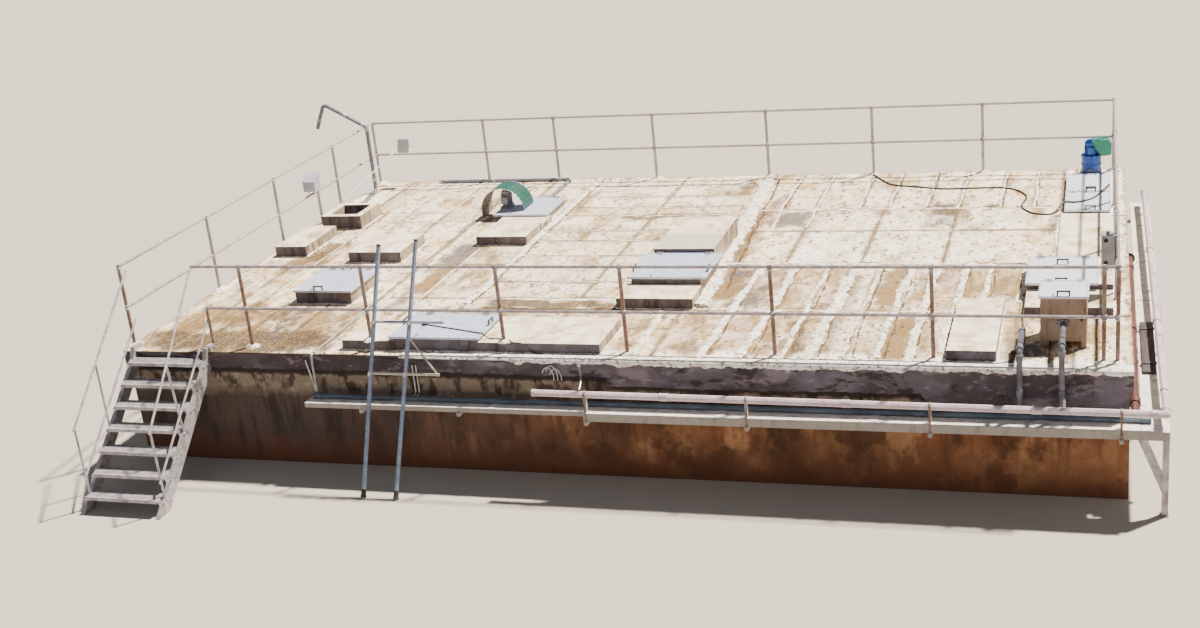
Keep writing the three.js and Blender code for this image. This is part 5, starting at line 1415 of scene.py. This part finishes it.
for x, y, top, axis in HANDLES:
    for low, high, foot in ((-0.066, -0.050, 0.0), (0.050, 0.066, 0.0), (-0.066, 0.066, 0.045)):
        span_x, span_y = ((low, high), (-0.008, 0.008))[::1 if axis == "X" else -1]
        grips.box(x + span_x[0], x + span_x[1], y + span_y[0], y + span_y[1], top + foot, top + 0.061, 0.002)
fitting("lid_handle_bars", grips, HANDLE_STEEL)

# %% [markdown]
# The rain cover over the mixer is a sheet of profiled steel bent to a half round. Its ribs run along
# its axis, the outside is painted teal and the inside is bare grey primer. The cross-section is one
# line with a rib every few degrees, given its thickness and carried along the axis.
# %% Rain cover
COVER_X = -8.405
COVER_SPRING = 1.52
COVER_OUTER = 0.336
COVER_SHEET = 0.003
RIB_DEPTH = 0.007
RIB_STEPS = 8
COVER_STEPS = 16 * RIB_STEPS
COVER_ENDS = (5.06, 5.47)
COVER_RINGS = 9
LEG_HEIGHTS = (ROOF + 0.001, 1.43, 1.46, 1.49)


def cover_line():
    """The outside of the cover's cross-section: points and the directions that they face."""
    line = [((COVER_X - COVER_OUTER + 0.004, z), (-1.0, 0.0)) for z in LEG_HEIGHTS]
    for step in range(COVER_STEPS + 1):
        angle = math.pi * (1 - step / COVER_STEPS)
        across = (step % RIB_STEPS) / RIB_STEPS
        reach = COVER_OUTER - (0.0 if 0.25 <= across <= 0.5 else RIB_DEPTH)
        way = (math.cos(angle), math.sin(angle))
        line.append(((COVER_X + reach * way[0], COVER_SPRING + reach * way[1]), way))
    return line


def rain_cover(line):
    """The cover as a thin closed skin that sags a little between its ends."""
    section = [point for point, _ in line]
    section += [(x - COVER_SHEET * way[0], z - COVER_SHEET * way[1]) for (x, z), way in reversed(line)]
    count = len(section)
    points = []
    for share, y in zip(np.linspace(0, 1, COVER_RINGS), np.linspace(*COVER_ENDS, COVER_RINGS)):
        sag = 0.003 * math.sin(math.pi * share)
        points.extend([(x, y, z - sag * max(0.0, (z - COVER_SPRING) / COVER_OUTER)) for x, z in section])
    faces = ring_faces(COVER_RINGS, count)
    for ring in (0, (COVER_RINGS - 1) * count):
        for k in range(len(line) - 1):
            faces.append((ring + k, ring + k + 1, ring + count - 2 - k, ring + count - 1 - k))
    return Shapes().add(points, faces)


outer_line = cover_line()
cover = fitting("ribbed_rain_cover", rain_cover(outer_line), COVER_PAINT, math.radians(25),
                ("rain_cover",))
cover.data.materials.append(COVER_INSIDE)
section_count = 2 * len(outer_line)
for index, polygon in enumerate(cover.data.polygons):
    k = index % section_count
    bare = k >= len(outer_line) or k < len(LEG_HEIGHTS)
    if index < (COVER_RINGS - 1) * section_count and bare:
        polygon.material_index = 1
hem_reach = COVER_OUTER - 0.006
front_hem, back_hem = COVER_ENDS[0] + 0.004, COVER_ENDS[1] - 0.004
hem_arc = [(COVER_X + hem_reach * math.cos(a), COVER_SPRING + hem_reach * math.sin(a))
           for a in np.linspace(math.pi, 0.02, 40)]
front_way = [(COVER_X - hem_reach, front_hem, ROOF + 0.004), *[(x, front_hem, z) for x, z in hem_arc]]
hem = Shapes().tube(front_way, 0.005, 8)
hem.tube([(x, back_hem, z) for x, z in hem_arc], 0.005, 8)
fitting("rain_cover_hems", hem, LID_ZINC)

# %% [markdown]
# The mixer's motor stands under the cover. A cast motor has cooling fins all round, a terminal box on
# its side and a ring of bolts in its flange. The fins are one fin, copied round the motor's axis.
# %% Motor fins, terminal box and flange bolts
MOTOR = (-8.405, 5.27)
fin = Shapes().box(0.066, 0.081, -0.0018, 0.0018, 0.0, 0.165, 0.0008)
scattered("motor_fins", fin, all_round(MOTOR, 1.57, 24), CASING_GREY)
terminals = Shapes().box(-8.45, -8.36, 5.155, 5.200, 1.60, 1.69, 0.005)
terminals.box(-8.456, -8.354, 5.147, 5.156, 1.594, 1.696, 0.003)
terminals.turned((-8.405, 5.178, 1.600), DOWN, [
    (0.0, 0.014), (0.012, 0.014), (0.014, 0.010), (0.03, 0.008)], 12)
fitting("motor_terminal_box", terminals, CASING_GREY)
flange_bolts = [(MOTOR[0] + dx, MOTOR[1] + dy, 1.545) for dx in (-0.055, 0.055) for dy in (-0.085, 0.085)]
bolted("motor_flange_bolts", standing(flange_bolts, UP, 0.9))

# %% [markdown]
# The blower in the back corner is a blue enamelled drum with a motor on top and a green hood on its
# right side. The drum is turned: one outline of distances and radii, with raised bands where the real
# one is clamped together. The hood is a folded sheet box with a slatted mouth.
# %% Blower
BLOWER = (-0.294, 6.93)
drum = Shapes().box(-0.434, -0.154, 6.80, 7.06, 1.4, 1.43, 0.004)
drum.turned((*BLOWER, 1.43), UP, [
    (0.0, 0.126), (0.004, 0.137), (0.016, 0.137), (0.020, 0.128), (0.108, 0.128), (0.112, 0.137),
    (0.126, 0.137), (0.130, 0.128), (0.222, 0.128), (0.226, 0.138), (0.244, 0.138), (0.249, 0.126),
    (0.254, 0.100), (0.256, 0.084), (0.395, 0.084), (0.399, 0.092), (0.416, 0.092), (0.421, 0.086),
    (0.444, 0.074), (0.458, 0.052), (0.465, 0.020)], 40)
drum.box(-0.338, -0.250, 6.800, 6.856, 1.715, 1.800, 0.006)
fitting("blue_blower_drum", drum, MACHINE_BLUE, replaced=("blower",))
blower_fin = Shapes().box(0.080, 0.092, -0.0016, 0.0016, 0.0, 0.122, 0.0007)
scattered("blower_motor_fins", blower_fin, all_round(BLOWER, 1.692, 28), MACHINE_BLUE)
band_bolts = [(BLOWER[0] + 0.132 * math.cos(a), BLOWER[1] + 0.132 * math.sin(a), 1.674)
              for a in np.arange(10) * math.tau / 10]
base_bolts = [(BLOWER[0] + dx, BLOWER[1] + dy, 1.43) for dx in (-0.125, 0.125) for dy in (-0.115, 0.115)]
bolted("blower_bolts", standing(band_bolts, UP, 0.6) + standing(base_bolts))
HOOD_MIDDLE = 1.78
hood_outline = [
    (-0.290, 1.886), (-0.234, 1.764), (-0.149, 1.668), (-0.032, 1.686), (-0.032, 1.838), (-0.068, 1.897)]
smaller = [(x * 0.98 - 0.003, HOOD_MIDDLE + (z - HOOD_MIDDLE) * 0.94) for x, z in hood_outline]
hood = Shapes().prism("Y", 6.842, 7.018, hood_outline)
hood.prism("Y", 6.838, 6.844, smaller)
for z in np.linspace(1.705, 1.825, 6):
    hood.box(-0.036, -0.026, 6.858, 7.002, z - 0.004, z + 0.004, 0.001)
fitting("green_blower_hood", hood, HOOD_GREEN)

# %% [markdown]
# The dosing cabinet is a steel box on four feet. Its front is a door with a narrow seam all round, two
# hinges on the left and a quarter-turn latch on the right. An outlet pipe leaves through a round
# flange, held by a ring of bolts. The side has louvres, so that the inside stays dry.
# %% Dosing cabinet
def door_frame(shapes, y0, y1, outer, side):
    """Four flat strips round a door. outer is its x and z span and side the width of the upright ones."""
    x0, x1, z0, z1 = outer
    low, high = z0 + side[1], z1 - side[1]
    for strip in ((x0, x1, high, z1), (x0, x1, z0, low), (x0, x0 + side[0], low, high),
                  (x1 - side[0], x1, low, high)):
        shapes.box(*strip[:2], y0, y1, *strip[2:], 0.001)


cabinet = Shapes()
door_frame(cabinet, 0.3620, 0.3665, (-0.737, -0.303, 1.488, 1.938), (0.023, 0.023))
for z in (1.56, 1.84):
    cabinet.turned((-0.742, 0.360, z), UP, [(0.0, 0.005), (0.002, 0.007), (0.046, 0.007), (0.048, 0.005)], 12)
    cabinet.box(-0.742, -0.718, 0.3600, 0.3630, z + 0.004, z + 0.044, 0.001)
for z in np.linspace(1.58, 1.86, 8):
    cabinet.prism("Y", 0.43, 0.75, [
        (-0.2955, z), (-0.2865, z - 0.010), (-0.2865, z - 0.014), (-0.2955, z - 0.012)])
fitting("cabinet_door_frame", cabinet, CASING_BEIGE)
latch = Shapes().turned((-0.345, 0.3655, 1.715), TO_FRONT, [
    (0.0, 0.017), (0.005, 0.016), (0.006, 0.011), (0.016, 0.010), (0.018, 0.008)], 20)
latch.box(-0.350, -0.340, 0.338, 0.350, 1.700, 1.730, 0.002)
fitting("cabinet_latch", latch, BLACK_RUBBER)
feet = Shapes()
for x, y in ((-0.745, 0.365), (-0.345, 0.365), (-0.745, 0.77), (-0.345, 0.77)):
    feet.box(x - 0.028, x + 0.078, y - 0.012, y + 0.062, 1.399, 1.406, 0.001)
fitting("cabinet_foot_plates", feet, CASING_BEIGE)
flange_ring = [(-0.52 + 0.047 * math.cos(a), 0.3396, 1.67 + 0.047 * math.sin(a))
               for a in np.arange(8) * math.tau / 8 + 0.2]
foot_bolts = [(x, y, 1.405) for x in (-0.758, -0.282) for y in (0.388, 0.798)]
bolted("cabinet_bolts", standing(flange_ring, TO_FRONT, 0.6) + standing(foot_bolts, UP, 0.7))

# %% [markdown]
# Three small boxes hang on the railings: the control box by the right posts, with two round ports in
# its front, the junction box with its hooded lid on the left, and the floodlight at the back. Each
# has a door or glass with a rim, screws and cable glands. The cabinets' screws reuse the bolt.
# %% Boxes on the railings
def cable_gland(shapes, spot, reach, end):
    """A gland that points down, with the stub of its cable: end is the stub's length and radius."""
    shapes.turned(spot, DOWN, [(0.0, reach), (0.010, reach), (0.012, 0.009), (end[0] - 0.004, 0.009),
                               (end[0], 0.006), end[1:]], 12)


control = Shapes()
door_frame(control, 1.6965, 1.7015, (-0.156, -0.024, 1.814, 2.166), (0.014, 0.016))
for x in (-0.122, -0.090, -0.058):
    cable_gland(control, (x, 1.77, 1.8105), 0.012, (0.030, 0.060, 0.0045))
control.box(-0.175, -0.005, 1.685, 1.845, 2.169, 2.177, 0.002)
# The ports are dark discs of painted shade, set where their shaded insides are.
ports = Shapes()
for z in (2.116, 1.864):
    control.turned((-0.113, 1.7005, z), TO_FRONT, [(0.0, 0.028), (0.004, 0.028), (0.006, 0.025)], 28)
    ports.turned((-0.113, 1.6950, z), TO_FRONT, [(0.0, 0.023), (0.0012, 0.023), (0.0022, 0.018)], 28)
fitting("control_box_details", control, CASING_GREY)
fitting("control_box_ports", ports, DARK_INSIDE)
junction = Shapes().box(-11.380, -11.200, 4.7035, 4.7110, 1.955, 2.100, 0.002)
junction.prism("X", -11.400, -11.180, [(4.690, 2.106), (4.905, 2.202), (4.905, 2.197), (4.692, 2.101)])
for x in (-11.335, -11.245):
    cable_gland(junction, (x, 4.76, 1.9505), 0.013, (0.034, 0.090, 0.005))
junction.turned((-11.262, 4.900, 1.400), UP, [(0.0, 0.058), (0.006, 0.058), (0.008, 0.054)], 24)
lamp_body = Shapes().box(-10.885, -10.675, 6.975, 7.045, 1.955, 1.968, 0.003)
for x in np.linspace(-10.865, -10.695, 9):
    lamp_body.prism("X", x - 0.002, x + 0.002, [
        (7.040, 1.975), (7.058, 1.990), (7.046, 2.130), (7.025, 2.140)])
for x in (-10.888, -10.676):
    lamp_body.box(x, x + 0.004, 6.985, 7.065, 2.02, 2.06, 0.001)
fitting("junction_box_door", junction, BOX_GREY)
fitting("floodlight_fins", lamp_body, PALE_LID_ZINC)
GLASS_LOW, GLASS_HIGH = Vector((0, 6.9450, 1.940)), Vector((0, 7.0150, 2.150))
glass_up = (GLASS_HIGH - GLASS_LOW).normalized()
glass_out = Vector((0, -glass_up.z, glass_up.y))
pane = [(GLASS_LOW + glass_up * reach + glass_out * lift).yz
        for reach, lift in ((0.018, 0.000), (0.018, 0.003), (0.190, 0.003), (0.190, 0.000))]
fitting("floodlight_glass", Shapes().prism("X", -10.868, -10.692, pane), LAMP_GLASS)
door_screws = [(x, 1.6970, z) for x in (-0.149, -0.031) for z in (1.822, 2.158)]
door_screws += [(x, 4.7040, z) for x in (-11.372, -11.208) for z in (1.965, 2.088)]
mast_screws = [(-11.262 + dx, 4.900 + dy, 1.407) for dx in (-0.04, 0.04) for dy in (-0.02, 0.02)]
bolted("box_screws", standing(door_screws, TO_FRONT, 0.35) + standing(mast_screws, UP, 0.6))

# %% [markdown]
# Long pipes are never one length. They are pushed together in sockets, which are a little thicker
# than the pipe, and elbows have a socket at each end. Sockets are turned rings at their real places.
# %% Pipe sockets
PALE_LEFT, PALE_CORNER, PALE_BACK = (-6.03, -0.46, 1.11), (0.445, -0.46, 1.065), (0.405, 7.06, 1.105)
ALONG_FRONT = np.subtract(PALE_CORNER, PALE_LEFT)
ALONG_SIDE = np.subtract(PALE_BACK, PALE_CORNER)
TO_BACK = (0, 1, 0)
TO_RIGHT = (1, 0, 0)
VENT_ARM = (-0.69, 0, 0.39)
RED_START = (0.176, 0.06, 0.8555)
RED_WAY = (0.0, 1.0, 0.046)


def on_red_pipe(y):
    """A point on the red pipe's axis, which rises towards the back."""
    return (RED_START[0], y, RED_START[2] + (y - RED_START[1]) * RED_WAY[2])


def sockets(rows, wall=0.005):
    """Sleeves with a thicker lip at each end. A row is a middle, a direction, a radius and half a length."""
    shapes = Shapes()
    for middle, along, radius, half in rows:
        along = np.asarray(along, float) / np.linalg.norm(along)
        sleeve, lip = radius + wall, radius + wall + 0.002
        shapes.turned(np.asarray(middle, float) - along * half, along, [
            (0.0, radius + 0.0005), (0.001, lip), (0.012, lip), (0.015, sleeve), (2 * half - 0.015, sleeve),
            (2 * half - 0.012, lip), (2 * half - 0.001, lip), (2 * half, radius + 0.0005)], 24)
    return shapes


pale_rows = [(PALE_LEFT + ALONG_FRONT * (x - PALE_LEFT[0]) / ALONG_FRONT[0], ALONG_FRONT, 0.037, 0.045)
             for x in (-4.55, -2.62, -0.75)]
pale_rows.append((PALE_LEFT + ALONG_FRONT * 0.984, ALONG_FRONT, 0.037, 0.03))
pale_rows += [(PALE_CORNER + ALONG_SIDE * share, ALONG_SIDE, 0.037, half)
              for share, half in ((0.014, 0.03), (0.33, 0.045), (0.66, 0.045), (0.985, 0.045))]
pale_sockets = sockets(pale_rows)
pale_sockets.turned(PALE_LEFT - ALONG_FRONT / np.linalg.norm(ALONG_FRONT) * 0.006, ALONG_FRONT, [
    (0.0, 0.030), (0.003, 0.041), (0.040, 0.041), (0.042, 0.0375)], 24)
grey_rows = [((x, -0.305, 0.928), TO_RIGHT, 0.030, 0.045) for x in (-8.76, -6.6, -4.2, -1.9, 0.27)]
outlet_rows = []
for x, height in ((-0.52, 1.67), (-0.92, 1.62)):
    outlet_rows.append(((x, -0.215, height), TO_BACK, 0.030, 0.030))
    outlet_rows += [((x, -0.280, z), UP, 0.030, half)
                    for z, half in ((height - 0.065, 0.030), (1.18, 0.040), (0.985, 0.025))]
outlet_rows += [((-0.92, 0.265, 1.62), TO_BACK, 0.030, 0.030), ((-0.92, 0.330, 1.555), UP, 0.030, 0.030),
                ((-0.92, 0.330, 1.432), UP, 0.030, 0.030)]
red_rows = [(on_red_pipe(y), RED_WAY, 0.045, 0.05) for y in (-0.17, 0.27, 2.10, 3.95)]
red_sockets = sockets(red_rows, 0.006)
red_sockets.turned(on_red_pipe(4.262), RED_WAY, [
    (0.0, 0.046), (0.001, 0.068), (0.016, 0.068), (0.018, 0.062)], 28)
steel_rows = [
    ((-11.18, 6.60, 1.60), UP, 0.030, 0.03), ((-11.18, 6.60, 2.42), UP, 0.030, 0.03),
    ((-11.235, 6.60, 2.4911), VENT_ARM, 0.030, 0.03), ((-11.525, 6.60, 2.655), VENT_ARM, 0.030, 0.03),
    ((-11.98, 6.60, 2.5976), (-0.17, 0, -0.39), 0.030, 0.03), ((-11.06, 5.86, 1.43), TO_BACK, 0.030, 0.03),
    *[((x, 7.035, 1.4263), TO_RIGHT, 0.028, 0.03) for x in (-10.22, -9.3, -8.2)],
    ((-8.02, 6.95, 1.4263), TO_BACK, 0.028, 0.025),
]
fitting("pale_pipe_sockets", pale_sockets, PALE_PVC)
fitting("grey_pipe_sockets", sockets(grey_rows), GREY_PVC)
fitting("outlet_pipe_sockets", sockets(outlet_rows), OUTLET_PVC)
fitting("red_pipe_sockets", red_sockets, RED_PVC)
fitting("steel_pipe_sockets", sockets(steel_rows), BOLT_ZINC)

# %% [markdown]
# The trunking is a folded steel channel with a lid that clips over it. The lid comes in lengths with
# a cover strip on each joint, its edges are folded down, and bands of flat bar hold the pipe and the
# trunking together over every arm. The bands repeat, so one band is made and copied.
# %% Trunking lids, bands and arm bolts
LID_TOP = 0.903
FRONT_ARMS = (-5.43, -3.66, -1.78, 0.04)
LEFT_ARMS = (-8.14, -6.94)
SIDE_ARMS = (0.08, 1.52, 2.42, 3.52, 5.02, 6.62)
WALL_FACE = -0.186


def strip_of(line, thickness):
    """A line as the outline of a thin strip, given its thickness to one side."""
    spots = np.array(line, float)
    ahead = np.gradient(spots, axis=0)
    ahead /= np.linalg.norm(ahead, axis=1)[:, None]
    side = np.stack([-ahead[:, 1], ahead[:, 0]], axis=1)
    return [tuple(p) for p in spots] + [tuple(p) for p in (spots + side * thickness)[::-1]]


def half_ring(y, z, stop):
    """The way of a band over a pipe whose middle is at y, z."""
    return [(y + 0.0405 * math.cos(a), z + 0.0405 * math.sin(a)) for a in np.linspace(math.pi, stop, 14)]


trunk = Shapes()
for x0, x1, outer in ((-5.458, 0.478, -0.510), (-8.858, -5.475, -0.455)):
    trunk.prism("X", x0, x1, [(outer - 0.003, 0.884), (outer - 0.003, LID_TOP), (outer + 0.020, LID_TOP),
                              (outer + 0.020, 0.900), (outer, 0.900), (outer, 0.884)])
    trunk.prism("X", x0, x1, [(-0.355, 0.900), (-0.355, LID_TOP), (-0.340, LID_TOP), (-0.340, 0.900)])
for joints, half, outer, foot in (((-3.95, -2.35, -0.72), 0.045, -0.516, 0.812),
                                  ((-7.75, -6.55), 0.04, -0.461, 0.846)):
    for x in joints:
        trunk.prism("X", x - half, x + half, [(outer, foot), (outer, 0.906), (-0.272, 0.906), (-0.272, 0.902),
                                              (outer + 0.004, 0.902), (outer + 0.004, foot)])
for x0, x1 in ((0.228, 0.250), (0.460, 0.483)):
    trunk.box(x0, x1, -0.268, 7.158, 0.899, 0.904, 0.001)
for y in (1.75, 3.2, 4.6, 6.1):
    trunk.prism("Y", y - 0.045, y + 0.045, [
        (0.226, 0.812), (0.226, 0.907), (0.484, 0.907), (0.484, 0.812), (0.481, 0.812), (0.481, LID_TOP),
        (0.229, LID_TOP), (0.229, 0.812)])
fitting("trunking_lid_edges", trunk, TRUNKING_PAINT)
band_line = [(-0.300, 0.766), (-0.5155, 0.766), (-0.5155, 0.912), (-0.505, 0.960), (-0.503, 1.060),
             *half_ring(-0.46, 1.086, -0.4), (-0.425, 0.960), (-0.418, 0.904)]
bands = Shapes()
for x, lift in zip(FRONT_ARMS, (0.0195, 0.008, -0.005, -0.018)):
    outline = [(y, z + (lift if z > 0.93 else 0.0)) for y, z in strip_of(band_line, 0.003)]
    bands.prism("X", x - 0.011, x + 0.011, outline)
for y, lift in zip(SIDE_ARMS, (0.0, 0.0065, 0.0115, 0.017, 0.025, 0.034)):
    ring = half_ring(0.4425 - 0.005 * (y + 0.46) / 7.5, 1.0675 + lift, 0.0)
    way = [(ring[0][0], 0.904), *ring, (ring[-1][0], 0.904)]
    bands.prism("Y", y - 0.011, y + 0.011, strip_of(way, 0.0025))
fitting("trunking_bands", bands, RAIL_ZINC)
arm_bolts = standing([(x, -0.528, 0.790) for x in FRONT_ARMS], TO_FRONT, 0.9)
arm_bolts += standing([(x, -0.478, 0.827) for x in LEFT_ARMS], TO_FRONT, 0.9)
arm_bolts += standing([(0.455, y, 0.770) for y in SIDE_ARMS], DOWN, 0.9)
plates = Shapes()
for x in LEFT_ARMS:
    plates.box(x - 0.045, x + 0.045, WALL_FACE, WALL_FACE + 0.007, 0.775, 0.895, 0.001)
for x in FRONT_ARMS:
    plates.box(x - 0.05, x + 0.05, WALL_FACE, WALL_FACE + 0.007, 0.715, 0.845, 0.001)
    arm_bolts += standing([(x + dx, WALL_FACE, 0.735) for dx in (-0.035, 0.035)], TO_FRONT, 0.8)
for y in SIDE_ARMS:
    plates.box(0.119, 0.126, y - 0.05, y + 0.05, 0.715, 0.790, 0.001)
plates.box(0.405, 0.489, -0.530, -0.430, 0.0, 0.008, 0.002)
fitting("arm_wall_plates", plates, RAIL_ZINC)
bolted("arm_bolts_zinc", arm_bolts)

# %% [markdown]
# A few loose lengths stay on the wall: a dark board on the side trunking, two thin conduits, a rod and
# a hanger that leans on the wall, a clip on the pale pipe and three curls of stiff tie wire.
# %% Board, conduits, hanger and tie wire
board = Shapes().box(0.262, 0.402, 0.92, 2.37, 0.905, 0.932, 0.003)
for y in (1.15, 2.15):
    board.box(0.250, 0.410, y - 0.03, y + 0.03, 0.931, 0.943, 0.002)
fitting("board_on_side_trunking", board, PANEL_BROWN)
rods = Shapes()
for x in (-7.545, -7.500):
    rods.tube(smooth_line([(x, -0.219, 1.305), (x, -0.222, 1.20), (x, -0.222, 1.05), (x, -0.235, 0.96),
                           (x, -0.285, 0.960)], 0.02), 0.008, 10)
rods.tube([(-8.89, -0.222, 1.336), (-8.852, -0.226, 1.150), (-8.815, -0.232, 0.962)], 0.010, 10)
rods.tube(smooth_line([(-5.545, -0.224, 1.345), (-5.535, -0.235, 1.30), (-5.515, -0.300, 1.20),
                       (-5.500, -0.425, 1.142)], 0.02), 0.008, 10)
rods.box(-5.565, -5.525, -0.228, -0.211, 1.325, 1.375, 0.002)
rods.box(-0.502, -0.478, -0.474, -0.446, 1.108, 1.200, 0.003)
fitting("wall_rods_and_hanger", rods, BOLT_ZINC)
wires = Shapes()
for shift, reach in ((0.0, 0.0), (0.045, 0.02), (0.09, -0.015)):
    wires.tube(smooth_line([
        (-5.99 + shift, -0.205, 1.235 + reach), (-5.96 + shift, -0.226, 1.290 + reach),
        (-5.915 + shift, -0.232, 1.315 + reach), (-5.875 + shift, -0.230, 1.285 + reach),
        (-5.855 + shift, -0.225, 1.225 + reach), (-5.850 + shift, -0.235, 1.165)], 0.012), 0.005, 8)
fitting("curls_of_tie_wire", wires, WHITE_CABLE)

# %% [markdown]
# The cable enters the front hatch lid and the roof through glands, and wire ties hold the hose to the
# foot of its post. Inside the tank the slurry shows through the open pit as a dark still surface; its
# near-black colour is the slurry's own dark colour together with painted shade of the closed tank.
# %% Glands, ties and slurry
glands = Shapes().box(-7.620, -7.560, 0.320, 0.380, 1.570, 1.594, 0.004)
glands.turned((-7.566, 0.345, 1.5785), (0.95, -0.30, 0.0), [
    (0.0, 0.0085), (0.004, 0.0085), (0.005, 0.0075), (0.016, 0.0075)], 12)
glands.box(-1.020, -0.960, 0.175, 0.235, 1.400, 1.424, 0.004)
for spot in ((-3.318, 7.012, 1.4114), (-3.302, 6.985, 1.4114)):
    glands.turned(spot, (0.5, -0.87, 0.0), [
        (0.0, 0.0118), (0.001, 0.0140), (0.006, 0.0140), (0.007, 0.0118)], 16)
fitting("cable_glands_and_ties", glands, BLACK_RUBBER)


def slurry_surface():
    """A slow skin on the slurry: a thin closed slab whose top has low folds."""
    columns, rows, top = 60, 40, 1.02
    x0, x1, y0, y1 = -11.065, -0.135, 0.075, 6.875
    points, faces = [], []
    for level in (0, 1):
        for j in range(rows + 1):
            for i in range(columns + 1):
                x, y = x0 + (x1 - x0) * i / columns, y0 + (y1 - y0) * j / rows
                fold = 0.010 * noise.noise((x * 2.3, y * 2.3, 0.4)) if level else -0.05
                points.append((x, y, top + fold))
    size = (columns + 1) * (rows + 1)
    for square in grid_squares(columns, rows):
        faces += [tuple(size + k for k in square), tuple(reversed(square))]
    rim = grid_rim(columns, rows)
    for a, b in zip(rim, rim[1:] + rim[:1]):
        faces.append((a, b, size + b, size + a))
    return Shapes().add(points, faces)


# the slurry gets the near-black lining, which is partly painted shade
fitting("slurry_surface", slurry_surface(), DARK_INSIDE, SOFT)

# %% [markdown]
# The tank stands on a plain pale floor in a soft studio light. A sun lamp high on the right and
# behind the tank plays the sun of the photograph, so the front faces are in shade and the short
# shadows fall to the front left. A weak lamp in front and an even grey world lift the shade.
# %% Floor and light
TANK_MIDDLE = (-5.6, 3.3, 1.2)
FLOOR_DROP = -0.002
floor_mesh = bpy.data.meshes.new("studio_floor")
floor_corners = [(x, y, FLOOR_DROP) for x, y in ((-90, -90), (90, -90), (90, 90), (-90, 90))]
floor_mesh.from_pydata(floor_corners, [], [(0, 1, 2, 3)])
floor_material = bpy.data.materials.new("pale_studio_floor")
floor_material.use_nodes = True
floor_shader = floor_material.node_tree.nodes["Principled BSDF"]
floor_shader.inputs["Base Color"].default_value = linear("AEAAA4")
floor_shader.inputs["Roughness"].default_value = 0.9
floor_mesh.materials.append(floor_material)
put("studio_floor", floor_mesh)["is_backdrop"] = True


def lamp(name, kind, ahead, energy, hex_colour):
    """A lamp of a kind, turned to shine along a direction."""
    data = bpy.data.lights.new(name, kind)
    data.energy = energy
    data.color = linear(hex_colour)[:3]
    obj = put(name, data)
    obj.rotation_mode = "QUATERNION"
    obj.rotation_quaternion = Vector(ahead).to_track_quat("-Z", "Y")
    return obj


sun = lamp("high_sun_lamp", "SUN", (-0.42, -0.42, -1.0), 14.5, "FFF1DE")
sun.data.angle = math.radians(2.5)
lamp_place, lamp_aim = placed([(-9.0, -20.0, 9.0), TANK_MIDDLE])
front_lamp = lamp("front_lamp", "AREA", lamp_aim - lamp_place, 220, "EEF2FF")
front_lamp.data.size = 12.0
front_lamp.location = Vector(lamp_place)
world = bpy.data.worlds.new("studio_world")
world.use_nodes = True
background = world.node_tree.nodes["Background"]
background.inputs["Color"].default_value = linear("E6E8EC")
background.inputs["Strength"].default_value = 0.30
bpy.context.scene.world = world
print("lamps and floor are in")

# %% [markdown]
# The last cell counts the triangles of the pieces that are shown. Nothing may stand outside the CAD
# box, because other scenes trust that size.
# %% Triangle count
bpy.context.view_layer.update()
triangles = {o.name: sum(len(p.vertices) - 2 for p in o.data.polygons)
             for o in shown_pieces() if o.type == "MESH"}
print("triangles", sum(triangles.values()), "in", len(triangles), "pieces, most in",
      max(triangles, key=triangles.get))
